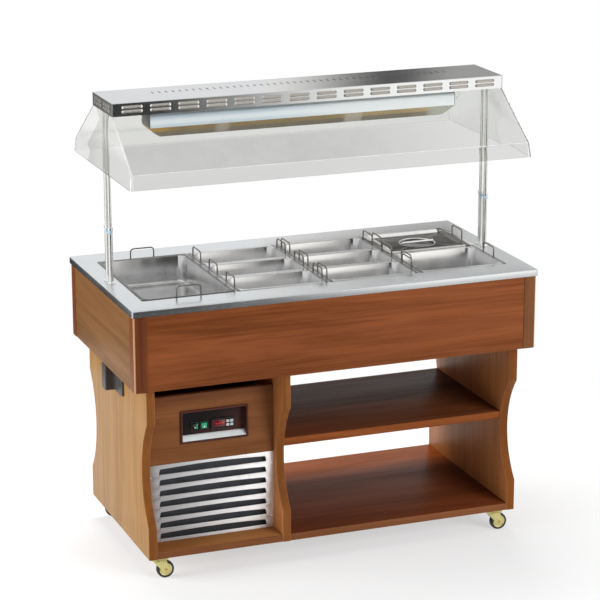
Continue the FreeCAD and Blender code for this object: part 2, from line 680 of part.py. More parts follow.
def grille_screw(x, z):
    """A round-headed screw through the grille."""
    return fuse(
        rod("screw_head", "screw_head_height", (x, f"{FACE_Y} - screw_head_height", z), "y"),
        rod("screw_shank", "screw_length", (x, FACE_Y, z), "y"),
    )


node(cut(
    slab(UNIT_X, GRILLE_Y, (BOARD_TOP, GRILLE_TOP)),
    *[grille_louvre(number) for number in range(VALUES["louvre_count"])],
    *[rod("screw_shank + 2 * fit_gap", "4 * grille_sheet", (x, f"{FACE_Y} - grille_sheet", z), "y")
      for x, z in SCREW_PLACES],
), "louvre_grille")
node(group(*[grille_screw(x, z) for x, z in SCREW_PLACES]), "grille_screws")

SWITCH_X = [f"({BEZEL_X} + switch_offset + {number} * switch_pitch)" for number in range(2)]
THERMOSTAT_X = f"({BEZEL_X} + thermostat_offset)"
FLOOR_BACK = f"({BEZEL_FLOOR} + bezel_wall)"
BODY_W = "(switch_width - 2 * switch_rim)"
BODY_H = "(switch_height - 2 * switch_rim)"
STAT_W = "(thermostat_width - 2 * thermostat_rim)"
STAT_H = "(thermostat_height - 2 * thermostat_rim)"
THROUGH_FLOOR = (f"{BEZEL_FLOOR} - bezel_wall", f"{BEZEL_FLOOR} + 2 * bezel_wall")

switch_cutouts = [
    slab(about(x, f"({BODY_W} + 2 * fit_gap)"), THROUGH_FLOOR, about(CONTROL_Z, f"({BODY_H} + 2 * fit_gap)"))
    for x in SWITCH_X
]
bezel_tub = cut(
    fuse(
        slab(about(BEZEL_X, "bezel_width"), (f"{FACE_Y} - bezel_proud", FACE_Y),
             about(BEZEL_Z, "bezel_height")),
        slab(about(BEZEL_X, TUB_W), (FACE_Y, FLOOR_BACK), about(BEZEL_Z, TUB_H)),
    ),
    slab(about(BEZEL_X, OPENING_W), (f"{FACE_Y} - 2 * bezel_proud", BEZEL_FLOOR),
         about(BEZEL_Z, OPENING_H)),
    slab(about(THERMOSTAT_X, f"({STAT_W} + 2 * fit_gap)"), THROUGH_FLOOR,
         about(CONTROL_Z, f"({STAT_H} + 2 * fit_gap)")),
    *switch_cutouts,
)
bare_strip = slab(
    about(BEZEL_X, f"({OPENING_W} - 2 * bezel_wall)"), (f"{BEZEL_FLOOR} - strip_proud", FLOOR_BACK),
    about(f"({BEZEL_Z} - strip_drop)", "strip_height"),
)
node(fuse(bezel_tub, bare_strip), "control_bezel")

FRAME_FRONT = f"({BEZEL_FLOOR} - switch_proud)"
FRAME_BACK = f"({BEZEL_FLOOR} + switch_body)"
MOUTH_W = "(switch_width - 2 * switch_rim - 2 * rocker_gap)"
MOUTH_H = "(switch_height - 2 * switch_rim - 2 * rocker_gap)"
ROCKER_Y = f"({FRAME_FRONT} + rocker_depth / 2)"
PIN_SPAN = f"({MOUTH_W} + 2 * rocker_gap)"


def switch_frame(x):
    """A switch body with a rim, a mouth for its rocker and a bore for the rocker's pin."""
    return cut(
        fuse(
            slab(about(x, "switch_width"), (FRAME_FRONT, BEZEL_FLOOR), about(CONTROL_Z, "switch_height")),
            slab(about(x, BODY_W), (BEZEL_FLOOR, FRAME_BACK), about(CONTROL_Z, BODY_H)),
        ),
        slab(about(x, MOUTH_W),
             (f"{FRAME_FRONT} - switch_proud", f"{FRAME_FRONT} + rocker_depth + rocker_proud"),
             about(CONTROL_Z, MOUTH_H)),
        rod("rocker_pin + 2 * pin_clearance", f"{PIN_SPAN}",
            (f"{x} - {PIN_SPAN} / 2", ROCKER_Y, CONTROL_Z), "x"),
    )


def rocker(x):
    """A rocker on its pin, tilted with its lower side pressed in."""
    width = f"({MOUTH_W} - 2 * rocker_side_gap)"
    height = f"({MOUTH_H} - 2 * rocker_gap)"
    back = "(rocker_depth / 2)"
    front = "(-rocker_depth / 2)"
    tip = "(-rocker_depth / 2 - rocker_proud)"
    half = f"({height} / 2)"
    wings = [
        frustum((front, back), (both(f"({width} / 2)"), both(half)), (both(f"({width} / 2)"), both(half))),
        frustum((tip, front), (both(f"({width} / 2)"), (f"{half} - 1", half)),
                (both(f"({width} / 2)"), (f"-{half}", half))),
        frustum((tip, front), (both(f"({width} / 2)"), (f"-{half}", f"1 - {half}")),
                (both(f"({width} / 2)"), (f"-{half}", half))),
        rod("rocker_pin", f"{PIN_SPAN} - 2 * pin_clearance",
            (f"pin_clearance - {PIN_SPAN} / 2", "0", "0"), "x"),
    ]
    shape = fuse(*wings)
    # The rocker's own Z axis points to the back of the switch
    turn = FreeCAD.Rotation(ALONG, -90 + VALUES["rocker_tilt"])
    return place(shape, (x, ROCKER_Y, CONTROL_Z), turn)


node(group(*[switch_frame(x) for x in SWITCH_X]), "switch_frames")
node(rocker(SWITCH_X[0]), "main_rocker")
node(rocker(SWITCH_X[1]), "lamp_rocker")

STAT_FRONT = f"({BEZEL_FLOOR} - thermostat_proud)"
KEYS = [
    (label, f"({THERMOSTAT_X} + key_offset + {column} * key_pitch_x / 2)",
     f"({CONTROL_Z} + {line} * key_pitch_z / 2)")
    for label, column, line in (
        ("key_set", -1, 1), ("key_up", 1, 1), ("key_mode", -1, -1), ("key_down", 1, -1),
    )
]
key_pockets = [
    slab(about(x, "(key_width + 2 * fit_gap)"),
         (f"{STAT_FRONT} - key_depth", f"{STAT_FRONT} - key_proud + key_depth + key_travel_room"),
         about(z, "(key_height + 2 * fit_gap)"))
    for label, x, z in KEYS
]
node(cut(
    fuse(
        slab(about(THERMOSTAT_X, "thermostat_width"), (STAT_FRONT, BEZEL_FLOOR),
             about(CONTROL_Z, "thermostat_height")),
        slab(about(THERMOSTAT_X, STAT_W), (BEZEL_FLOOR, f"{BEZEL_FLOOR} + thermostat_body"),
             about(CONTROL_Z, STAT_H)),
    ),
    *key_pockets,
), "thermostat")
for label, x, z in KEYS:
    key_y = (f"{STAT_FRONT} - key_proud", f"{STAT_FRONT} - key_proud + key_depth")
    node(slab(about(x, "key_width"), key_y, about(z, "key_height")), label)

BOX_X = (f"{PARTITION_LEFT} - control_box_depth", PARTITION_LEFT)
BOX_Z = ("control_box_low", "control_box_low + control_box_height")
node(cut(
    slab(BOX_X, both("(control_box_width / 2)"), BOX_Z),
    slab(
        (f"{PARTITION_LEFT} - control_box_depth + control_box_wall", f"{PARTITION_LEFT} - control_box_wall"),
        both("(control_box_width / 2 - control_box_wall)"),
        ("control_box_low + control_box_wall", "control_box_low + control_box_height - control_box_wall"),
    ),
    rod("gland_bore", "3 * control_box_wall",
        (f"{PARTITION_LEFT} - control_box_depth / 2", "0", "control_box_low - control_box_wall")),
), "control_box")


# Side bracket on the left panel, close under the casing

BRACKET_TOP = f"({CASING_BOTTOM} - fit_gap)"
node(fuse(
    slab((f"-{BASE_X} - bracket_plate", f"-{BASE_X}"), ("-bracket_plate_front", "bracket_plate_back"),
         (f"{BRACKET_TOP} - bracket_plate_height", BRACKET_TOP)),
    slab((f"-{BASE_X} - bracket_reach", f"-{BASE_X} - bracket_plate / 2"),
         ("-bracket_lug_front", "bracket_lug_back"),
         (f"{BRACKET_TOP} - bracket_lug_height", BRACKET_TOP)),
), "side_bracket")


# Telescopic posts

INNER_FOOT = f"({POST_JOINT} - post_overlap)"


def outer_post(x, y):
    """An outer tube with a collar on the worktop and a ring at its top."""
    return cut(
        fuse(
            rod("post_outer", f"{POST_JOINT} - {POST_FOOT}", (x, y, POST_FOOT)),
            rod("post_collar", "post_collar_height", (x, y, "worktop_height")),
            rod("post_ring", "post_ring_height", (x, y, f"{POST_JOINT} - post_ring_height")),
        ),
        rod("post_inner + 2 * pin_clearance", f"{POST_JOINT} - {POST_FOOT} + 2 * post_ring_height",
            (x, y, f"{POST_FOOT} - post_ring_height")),
    )


def inner_post(x, y):
    """An inner tube from inside the outer tube up to the gantry's top sheet."""
    height = f"{GANTRY_TOP} - top_sheet - {INNER_FOOT}"
    return cut(
        rod("post_inner", height, (x, y, INNER_FOOT)),
        rod("post_inner - 2 * post_bore_wall", f"{height} + 2 * post_bore_wall",
            (x, y, f"{INNER_FOOT} - post_bore_wall")),
    )


node(group(*[outer_post(x, y) for x, y in POST_PLACES]), "post_outer_tubes")
node(group(*[inner_post(x, y) for x, y in POST_PLACES]), "post_inner_tubes")


# Gantry shelf: a folded tray with two rows of louvres round it and a row of slits in its top

GANTRY_X = f"({WORKTOP_X} - gantry_inset)"
GANTRY_Y = "(gantry_depth / 2)"
VENT_Z = [f"({GANTRY_UNDER} + gantry_height / 2 + {row} * vent_row_gap / 2)" for row in (-1, 1)]


def gantry_vents():
    """Slots through the long walls, then slots through the ends."""
    for number in range(VALUES["vent_columns"]):
        middle = f"(({number} - (vent_columns - 1) / 2) * vent_pitch)"
        for z in VENT_Z:
            yield slab(about(middle, "vent_length"), both("gantry_depth"), about(z, "vent_height"))
    for side in (-1, 1):
        for z in VENT_Z:
            yield slab(both(f"(2 * {GANTRY_X})"), about(f"({side} * end_vent_pitch / 2)", "vent_length"),
                       about(z, "vent_height"))


def gantry_slits():
    """Short slits across the top sheet."""
    for number in range(VALUES["slit_count"]):
        middle = f"(slit_x + ({number} - (slit_count - 1) / 2) * slit_pitch)"
        yield slab(about(middle, "slit_width"), about("slit_y", "slit_length"),
                   (f"{GANTRY_TOP} - 2 * top_sheet", f"{GANTRY_TOP} + top_sheet"))


gantry_tray = cut(
    rounded(slab(both(GANTRY_X), both(GANTRY_Y), (GANTRY_UNDER, GANTRY_TOP)),
            upright=VALUES["rim_corner"], upper=VALUES["rim_bend"]),
    slab(both(f"({GANTRY_X} - top_sheet)"), both(f"({GANTRY_Y} - top_sheet)"),
         (f"{GANTRY_UNDER} - top_sheet", f"{GANTRY_TOP} - top_sheet")),
)
node(cut(gantry_tray, group(*gantry_slits()), fuse(*gantry_vents())), "gantry_shelf")


# Hood: a collar inside the gantry, sloping sheets and a lip

HOOD_TOP_X = f"({GANTRY_X} - top_sheet)"
HOOD_TOP_Y = f"({GANTRY_Y} - top_sheet)"
FOLD_X = f"({GANTRY_X} + hood_flare)"
FOLD_Y = f"({GANTRY_Y} + hood_reach)"
FOLD_Z = f"({GANTRY_UNDER} - hood_drop)"
LIP_LOW = f"({FOLD_Z} - lip_height)"
SLOPE = f"(({FOLD_Y} - {HOOD_TOP_Y}) / hood_drop)"
SLOPE_WALL = f"(hood_sheet * sqrt(1 + {SLOPE}^2))"


def rectangle(x, y):
    """A rectangle about the middle, from its half length and half depth."""
    return both(x), both(y)


def hood_block(inset_x, inset_y, inset_lip, overrun):
    """The hood's outer block, or its hollow when the insets are the sheet's thickness."""
    top = rectangle(f"({HOOD_TOP_X} - {inset_x})", f"({HOOD_TOP_Y} - {inset_y})")
    collar = rectangle(f"({HOOD_TOP_X} - {inset_x})", f"({HOOD_TOP_Y} - {inset_y})")
    fold = rectangle(f"({FOLD_X} - {inset_x})", f"({FOLD_Y} - {inset_y})")
    lip_top = rectangle(f"({FOLD_X} - {inset_x})", f"({FOLD_Y} - {inset_lip})")
    lip_low = rectangle(f"({FOLD_X} + lip_flare - {inset_x})", f"({FOLD_Y} + lip_flare - {inset_lip})")
    collar_y = f"({HOOD_TOP_Y} - {inset_lip})"
    return [
        frustum((LIP_LOW, FOLD_Z), lip_low, lip_top),
        frustum((FOLD_Z, GANTRY_UNDER), fold, top),
        slab(collar[0], both(collar_y), (GANTRY_UNDER, f"{GANTRY_UNDER} + hood_collar + {overrun}")),
    ]


hood_solid = fuse(*hood_block("0", "0", "0", "0"))
hood_hollow = hood_block("hood_sheet", SLOPE_WALL, "hood_sheet", "hood_sheet")
node(cut(hood_solid, *hood_hollow), "hood")


# Heat lamp: housing on hangers, reflector skirt, lamps

LAMP_X = f"({GANTRY_X} - lamp_inset)"
LAMP_Y = "(lamp_depth / 2)"
LAMP_TOP = f"({GANTRY_UNDER} - lamp_drop)"
LAMP_BOTTOM = f"({LAMP_TOP} - lamp_height)"
lamp_hangers = [
    slab(about(f"({step} * 2 * {LAMP_X} / 3)", "lamp_hanger"), both(f"({LAMP_Y} / 2)"),
         (f"{LAMP_TOP} - lamp_sheet", f"{GANTRY_TOP} - top_sheet"))
    for step in (-1, 0, 1)
]
node(fuse(
    cut(
        slab(both(LAMP_X), both(LAMP_Y), (LAMP_BOTTOM, LAMP_TOP)),
        slab(both(f"({LAMP_X} - lamp_sheet)"), both(f"({LAMP_Y} - lamp_sheet)"),
             (f"{LAMP_BOTTOM} - lamp_sheet", f"{LAMP_TOP} - lamp_sheet")),
    ),
    *lamp_hangers,
), "lamp_housing")


def skirt_block(inset, overrun):
    """The skirt's outer block, or its hollow when the inset is the sheet's thickness."""
    x = f"({LAMP_X} - lamp_sheet - {inset})"
    y = f"({LAMP_Y} - lamp_sheet - {inset})"
    low = rectangle(f"({x} - skirt_end_draft)", f"({y} - skirt_draft)")
    return [
        frustum((f"{LAMP_BOTTOM} - skirt_height", LAMP_BOTTOM), low, rectangle(x, y)),
        slab(both(x), both(y), (LAMP_BOTTOM, f"{LAMP_BOTTOM} + skirt_collar + {overrun}")),
    ]


node(cut(fuse(*skirt_block("0", "0")), *skirt_block("lamp_sheet", "lamp_sheet")), "lamp_reflector")


HEATER_LENGTH = f"({LAMP_X} - heater_gap / 2 - heater_margin)"
HEATER_Z = f"({LAMP_BOTTOM} - heater_drop)"


def heat_lamp(side):
    """A quartz tube between two ceramic holders under the housing's top."""
    near = "(heater_gap / 2)" if side > 0 else f"(-heater_gap / 2 - {HEATER_LENGTH})"
    ends = [near, f"({near} + {HEATER_LENGTH} - holder_width)"]
    holders = [
        slab((x, f"{x} + holder_width"), both("(holder_depth / 2)"),
             (f"{HEATER_Z} - holder_drop", f"{LAMP_TOP} - lamp_sheet"))
        for x in ends
    ]
    return fuse(rod("heater_diameter", HEATER_LENGTH, (near, "0", HEATER_Z), "x"), *holders)


node(group(heat_lamp(-1), heat_lamp(1)), "heat_lamps")


# Pans with their handles, and the lid

FLANGE_TOP = "(worktop_height + pan_sheet)"


def handle_loop(x, y, along):
    """A wire loop that stands on a flange, spanning along X or along Y."""
    turn = FreeCAD.Rotation() if along == "x" else FreeCAD.Rotation(UP, 90)
    upright = FreeCAD.Rotation(ALONG, 90)
    half = "(handle_span / 2)"
    crown = f"({FLANGE_TOP} + handle_height - handle_wire / 2)"
    shoulder = f"({crown} - handle_bend)"
    inner = f"({half} - handle_bend)"

    def spot(offset, z):
        """A point of the loop's plane."""
        return (f"{x} + {offset}", y, z) if along == "x" else (x, f"{y} + {offset}", z)

    legs = [
        rod("handle_wire", f"{shoulder} - worktop_height - pan_sheet / 2",
            spot(offset, "worktop_height + pan_sheet / 2"))
        for offset in (f"-{half}", half)
    ]
    bends = [
        bend("handle_bend", "handle_wire", 90, spot(inner, shoulder), turn * upright),
        bend("handle_bend", "handle_wire", 90, spot(f"-{inner}", shoulder),
             turn * upright * FreeCAD.Rotation(UP, 90)),
    ]
    bar = rod("handle_wire", f"2 * {inner}", spot(f"-{inner}", crown), along)
    return [*legs, *bends, bar]


def pan_middle(column, rows, line):
    """The middle of a pan's place in the field."""
    x = f"({column} * (gn_width + column_gap) + gn_width / 2 - {FIELD_X})"
    y = f"(({line} + 0.5) * gn_length / {rows} - {FIELD_Y})"
    return x, y


def pan(label, column, rows, line):
    """A pan with a flange, rounded corners and two handle loops at its ends."""
    x, y = pan_middle(column, rows, line)
    width = "(gn_width - pan_gap)"
    depth = f"(gn_length / {rows} - pan_gap)"
    tub_z = ("worktop_height - pan_depth", FLANGE_TOP)

    def tub(inset, z):
        """The tub's block, drawn in by an inset."""
        return slab(about(x, f"({width} - 2 * pan_flange - 2 * {inset})"),
                    about(y, f"({depth} - 2 * pan_flange - 2 * {inset})"), z)

    flange = rounded(slab(about(x, width), about(y, depth), ("worktop_height", FLANGE_TOP)),
                     upright=VALUES["flange_corner"])
    outside = rounded(tub("0", tub_z), upright=VALUES["pan_corner"], lower=VALUES["pan_bottom_radius"])
    hollow = rounded(
        tub("pan_sheet", ("worktop_height - pan_depth + pan_sheet", f"{FLANGE_TOP} + pan_sheet")),
        upright=VALUES["pan_corner"] - VALUES["pan_sheet"],
        lower=VALUES["pan_bottom_radius"] - VALUES["pan_sheet"],
    )
    shell = cut(fuse(flange, outside), hollow)
    end = "(pan_flange / 2)"
    if rows == 1:
        loops = [handle_loop(x, f"({y} + {side} * ({depth} / 2 - {end}))", "x") for side in (-1, 1)]
    else:
        loops = [handle_loop(f"({x} + {side} * ({width} / 2 - {end}))", y, "y") for side in (-1, 1)]
    return node(fuse(shell, *loops[0], *loops[1]), label)


LINE_NAMES = {1: ("full",), 2: ("half_front", "half_back"), 3: ("third_front", "third_middle", "third_back")}
for column, rows in enumerate(COLUMN_ROWS):
    for line, line_name in enumerate(LINE_NAMES[rows]):
        pan(f"pan_{column + 1}_{line_name}", column, rows, line)


def lid():
    """The lid of the last pan: a sheet with a raised edge, notches for the handles and a dish with a grip."""
    column, rows = COLUMNS - 1, COLUMN_ROWS[-1]
    x, y = pan_middle(column, rows, rows - 1)
    width = "(gn_width - pan_gap)"
    depth = f"(gn_length / {rows} - pan_gap)"
    sheet_z = (FLANGE_TOP, f"{FLANGE_TOP} + pan_sheet")
    bead_z = (FLANGE_TOP, f"{FLANGE_TOP} + lid_bead_height")
    notch_x = "(pan_flange / 2 + handle_wire / 2 + fit_gap)"
    notches = [
        slab((f"{x} + {side} * {width} / 2 - {notch_x}", f"{x} + {side} * {width} / 2 + {notch_x}"),
             about(y, "(handle_span + 2 * handle_wire)"),
             (f"{FLANGE_TOP} - pan_sheet", f"{FLANGE_TOP} + 2 * lid_bead_height"))
        for side in (-1, 1)
    ]
    edge = rounded(slab(about(x, width), about(y, depth), bead_z), upright=VALUES["flange_corner"])
    tray = slab(about(x, f"({width} - 2 * lid_bead)"), about(y, f"({depth} - 2 * lid_bead)"),
                (f"{FLANGE_TOP} + pan_sheet", f"{FLANGE_TOP} + 2 * lid_bead_height"))
    dish_top = sheet_z[1]
    dish_low = f"({dish_top} - dish_depth)"
    dish = rod("dish_diameter + 2 * pan_sheet", "dish_depth", (x, y, dish_low))
    dish_hollow = rod("dish_diameter", "dish_depth + lid_bead_height", (x, y, f"{dish_low} + pan_sheet"))
    grip = rod("grip_diameter", "dish_diameter + pan_sheet",
               (f"{x} - dish_diameter / 2 - pan_sheet / 2", y, f"{dish_top} - grip_diameter / 2"), "x")
    shell = cut(fuse(cut(edge, tray, *notches), dish), dish_hollow)
    return node(fuse(shell, grip), "pan_lid")


lid()


# Casters

PLATE_LOW = "(caster_height - caster_plate_thickness)"
RACE_LOW = f"({PLATE_LOW} - race_height)"
CROWN_TOP = f"({RACE_LOW} - race_gap - race_lower)"
CROWN_LOW = f"({CROWN_TOP} - fork_crown)"
HEAD_TOP = f"({CROWN_LOW} - race_gap)"
WHEEL_Z = "(wheel_diameter / 2)"
CASTERS = [
    ("front_left", f"(caster_inset_left - {BASE_X})", f"(caster_inset_y - {BASE_Y})"),
    ("front_right", f"({BASE_X} - caster_inset_right)", f"(caster_inset_y - {BASE_Y})"),
    ("back_left", f"(caster_inset_left - {BASE_X})", f"({BASE_Y} - caster_inset_y)"),
    ("back_right", f"({BASE_X} - caster_inset_right)", f"({BASE_Y} - caster_inset_y)"),
]


def caster_plate(x, y):
    """A top plate with the upper race and the king pin with its head."""
    return fuse(
        slab(about(x, "caster_plate"), about(y, "caster_plate"), (PLATE_LOW, "caster_height")),
        rod("race_diameter", "race_height", (x, y, RACE_LOW)),
        rod("king_pin", f"{PLATE_LOW} - {HEAD_TOP} + king_head_height",
            (x, y, f"{HEAD_TOP} - king_head_height")),
        rod("king_head", "king_head_height", (x, y, f"{HEAD_TOP} - king_head_height")),
    )


def caster_fork(x, y):
    """A crown with the lower race, two slanting cheeks and the axle with its nuts."""
    axle_x = f"({x} + trail)"
    outside = "(fork_inside / 2 + fork_cheek)"
    cheeks = []
    for side in (-1, 1):
        y_near = f"({y} + {side} * fork_inside / 2)"
        y_far = f"({y} + {side} * {outside})"
        span = (y_near, y_far) if side > 0 else (y_far, y_near)
        crown_x = (f"{x} - fork_front", f"{x} + fork_back")
        foot_x = about(axle_x, "fork_foot")
        nut_y = y_far if side > 0 else f"({y_far} - axle_nut_height)"
        cheeks += [
            frustum((WHEEL_Z, CROWN_TOP), (foot_x, span), (crown_x, span)),
            rod("fork_foot", "fork_cheek", (axle_x, span[0], WHEEL_Z), "y"),
            rod("axle_nut", "axle_nut_height", (axle_x, nut_y, WHEEL_Z), "y"),
        ]
    crown = slab((f"{x} - fork_front", f"{x} + fork_back"), about(y, f"(2 * {outside})"),
                 (CROWN_LOW, CROWN_TOP))
    race = rod("race_diameter", "race_lower", (x, y, CROWN_TOP))
    pin_bore = rod("king_pin + 2 * pin_clearance", "2 * fork_crown + 2 * race_lower",
                   (x, y, f"{CROWN_LOW} - fork_crown / 2"))
    axle_rod = rod("axle", f"2 * {outside} + 2 * axle_nut_height",
                   (axle_x, f"{y} - {outside} - axle_nut_height", WHEEL_Z), "y")
    return fuse(cut(fuse(crown, race), pin_bore), axle_rod, *cheeks)


def caster_wheel(x, y):
    """A wheel disc with a hub that runs on the axle."""
    axle_x = f"({x} + trail)"
    hub = "(fork_inside - 2 * hub_side_gap)"
    return cut(
        fuse(
            rod("tyre_inner", "disc_width", (axle_x, f"{y} - disc_width / 2", WHEEL_Z), "y"),
            rod("hub_diameter", hub, (axle_x, f"{y} - {hub} / 2", WHEEL_Z), "y"),
        ),
        rod("axle + 2 * pin_clearance", "2 * fork_inside", (axle_x, f"{y} - fork_inside", WHEEL_Z), "y"),
    )


def caster_tyre(x, y):
    """A tyre round the wheel disc."""
    axle_x = f"({x} + trail)"
    return cut(
        rod("wheel_diameter", "tyre_width", (axle_x, f"{y} - tyre_width / 2", WHEEL_Z), "y"),
        rod("tyre_inner + 2 * pin_clearance", "2 * tyre_width", (axle_x, f"{y} - tyre_width", WHEEL_Z), "y"),
    )


node(group(*[caster_plate(x, y) for corner, x, y in CASTERS]), "caster_plates")
for corner, x, y in CASTERS:
    node(caster_fork(x, y), f"caster_fork_{corner}")
    node(caster_wheel(x, y), f"caster_wheel_{corner}")
    node(caster_tyre(x, y), f"caster_tyre_{corner}")


# Build, test and write

doc.recompute()
faulty = [item.Label for item in doc.Objects if "Invalid" in item.State or "Error" in item.State]
if faulty:
    raise RuntimeError("objects that failed: " + ", ".join(faulty))
for item in NODES:
    if item.Shape.isNull() or not item.Shape.isValid() or not item.Shape.Solids:
        raise RuntimeError("no sound shape: " + item.Label)

os.makedirs("parts", exist_ok=True)
for item in NODES:
    item.Shape.exportStep(os.path.join("parts", item.Label + ".step"))
print(len(NODES), "pieces written")
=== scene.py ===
import json
import math

import bmesh
import bpy
import numpy as np
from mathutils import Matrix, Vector

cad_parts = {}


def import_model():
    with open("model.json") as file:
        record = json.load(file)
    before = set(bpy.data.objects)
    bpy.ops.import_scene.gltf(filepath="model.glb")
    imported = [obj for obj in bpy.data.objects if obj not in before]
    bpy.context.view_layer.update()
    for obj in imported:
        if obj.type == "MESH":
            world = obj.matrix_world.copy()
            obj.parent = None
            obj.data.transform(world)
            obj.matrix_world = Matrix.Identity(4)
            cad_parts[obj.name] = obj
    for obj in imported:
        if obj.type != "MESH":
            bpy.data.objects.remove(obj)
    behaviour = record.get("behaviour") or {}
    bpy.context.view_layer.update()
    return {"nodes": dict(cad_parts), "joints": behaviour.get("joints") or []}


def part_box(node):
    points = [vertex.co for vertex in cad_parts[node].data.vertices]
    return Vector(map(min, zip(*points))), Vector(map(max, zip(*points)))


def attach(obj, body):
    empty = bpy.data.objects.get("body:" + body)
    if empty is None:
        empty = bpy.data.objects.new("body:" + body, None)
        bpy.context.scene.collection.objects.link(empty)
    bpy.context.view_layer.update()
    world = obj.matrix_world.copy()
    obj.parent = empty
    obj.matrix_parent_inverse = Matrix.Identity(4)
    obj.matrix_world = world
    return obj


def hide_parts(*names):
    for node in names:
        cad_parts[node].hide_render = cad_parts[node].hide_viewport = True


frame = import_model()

# Pieces are in millimetres in the counter's own frame: X along it, Y to the back, Z up from the floor.
# Each is a surface worked out on a grid, and Piece.build scales it to metres.
# Finishes, lights and camera are in metres.

AXES = {"x": (1, 2, 0), "y": (0, 2, 1), "z": (0, 1, 2)}
CORNERS = [(-1, -1), (1, -1), (-1, 1), (1, 1)]
PANELS = "left_side_panel", "partition_panel", "right_side_panel"
COLUMN_PITCH, LOUVRE_PITCH = 329.0, 97.0
POST_X, POST_Y, POST_HOLE = 687.0, 18.0, 9.2
SHEET, RECESS_FLOOR = 1.2, 2.5


def unit(vectors):
    """Each vector divided by its length."""
    return vectors / np.linalg.norm(vectors, axis=-1, keepdims=True)


def box_mm(node):
    """A CAD node's lowest and highest corner in millimetres."""
    low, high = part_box(node)
    return np.array(low) * 1000, np.array(high) * 1000


class Piece:
    """Gathers grids of points and makes one mesh of them."""

    def __init__(self):
        """Starts empty."""
        self.points, self.quads, self.caps, self.count = [], [], [], 0

    def grid(self, points, wrap_rows=False, wrap_columns=False):
        """Quads between neighbouring points of a (rows, columns, 3) array; wrapping joins last to first."""
        rows, columns = points.shape[:2]
        row = np.arange(rows if wrap_rows else rows - 1)[:, None]
        column = np.arange(columns if wrap_columns else columns - 1)[None, :]
        below, beside = (row + 1) % rows, (column + 1) % columns
        ring = [row * columns + column, row * columns + beside,
                below * columns + beside, below * columns + column]
        self.quads.append(self.count + np.stack(np.broadcast_arrays(*ring), axis=-1).reshape(-1, 4))
        self.points.append(points.reshape(-1, 3))
        self.count += rows * columns
        return self.count - rows * columns

    def tube(self, rings):
        """Closed rings one after another, with a flat face over the first and the last."""
        count, size = rings.shape[:2]
        start = self.grid(rings, wrap_columns=True)
        last = start + (count - 1) * size
        self.caps += [list(range(start, start + size)), list(range(last, last + size))]

    def face(self, points):
        """One flat face."""
        self.points.append(points)
        self.caps.append(list(range(self.count, self.count + len(points))))
        self.count += len(points)

    def build(self, name, body, slot, finish, replaces=(), angle=38):
        """One object at the origin: doubles merged, faces outwards, edges over the angle kept sharp."""
        mesh = bpy.data.meshes.new(name)
        faces = np.concatenate(self.quads).tolist() + self.caps
        mesh.from_pydata((np.concatenate(self.points) * 0.001).tolist(), [], faces)
        work = bmesh.new()
        work.from_mesh(mesh)
        bmesh.ops.remove_doubles(work, verts=work.verts, dist=2e-6)
        bmesh.ops.recalc_face_normals(work, faces=work.faces)
        work.to_mesh(mesh)
        work.free()
        mesh.polygons.foreach_set("use_smooth", np.ones(len(mesh.polygons), dtype=bool))
        mesh.set_sharp_from_angle(angle=math.radians(angle))
        mesh.materials.append(finish)
        item = bpy.data.objects.new(name, mesh)
        bpy.context.scene.collection.objects.link(item)
        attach(item, body)
        if replaces:
            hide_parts(*replaces)
        return item


# Outlines and ways to carry them


def rounded_loop(half_x, half_y, radius, steps=6):
    """A rectangle about zero with round corners: a quarter circle about each corner's own centre."""
    angle = np.arange(4)[:, None] * np.pi / 2 + np.linspace(0, np.pi / 2, steps + 1)
    x = np.array([1, -1, -1, 1])[:, None] * (half_x - radius) + radius * np.cos(angle)
    y = np.array([1, 1, -1, -1])[:, None] * (half_y - radius) + radius * np.sin(angle)
    return np.stack([x, y], axis=-1).reshape(-1, 2)


def rounded_polygon(corners, radii, steps=6):
    """A polygon with arcs for corners: each arc lies on the circle of its radius that touches both sides."""
    corners = np.asarray(corners, float)
    radii = np.broadcast_to(np.asarray(radii, float), len(corners))
    ahead = unit(np.roll(corners, -1, axis=0) - corners)
    behind = unit(np.roll(corners, 1, axis=0) - corners)
    half = np.arccos(np.clip(np.sum(ahead * behind, axis=-1), -1, 1)) / 2
    middle = corners + unit(ahead + behind) * (radii / np.sin(half))[:, None]
    spoke = corners + behind * (radii / np.tan(half))[:, None] - middle
    turning = np.sign(ahead[:, 0] * behind[:, 1] - ahead[:, 1] * behind[:, 0])
    angle = np.linspace(0, 1, steps + 1) * ((np.pi - 2 * half) * turning)[:, None]
    x = middle[:, :1] + np.cos(angle) * spoke[:, :1] - np.sin(angle) * spoke[:, 1:]
    y = middle[:, 1:] + np.sin(angle) * spoke[:, :1] + np.cos(angle) * spoke[:, 1:]
    return np.stack([x, y], axis=-1).reshape(-1, 2)


def fill_places(outline, step):
    """Places along a loop, as point numbers: its own points and new ones at every step of its length."""
    closed = np.concatenate([outline, outline[:1]])
    length = np.concatenate([[0], np.cumsum(np.linalg.norm(np.diff(closed, axis=0), axis=-1))])
    places = np.unique(np.concatenate([length[:-1], np.arange(0, length[-1], step)]))
    return np.interp(places, length, np.arange(len(length)))


def filled(outline, places):
    """A loop read off at places between its points, in a straight line from point to point."""
    closed = np.concatenate([outline, outline[:1]])
    number = np.arange(len(closed))
    return np.stack([np.interp(places, number, closed[:, part]) for part in (0, 1)], axis=-1)


def inward(outline):
    """The mitre at each point of a loop: moving along it by a length moves both sides in by that length."""
    ahead = unit(np.roll(outline, -1, axis=0) - outline)
    behind = np.roll(ahead, 1, axis=0)
    left_ahead = np.stack([-ahead[:, 1], ahead[:, 0]], axis=-1)
    left_behind = np.stack([-behind[:, 1], behind[:, 0]], axis=-1)
    return (left_ahead + left_behind) / (1 + np.sum(left_ahead * left_behind, axis=-1, keepdims=True))


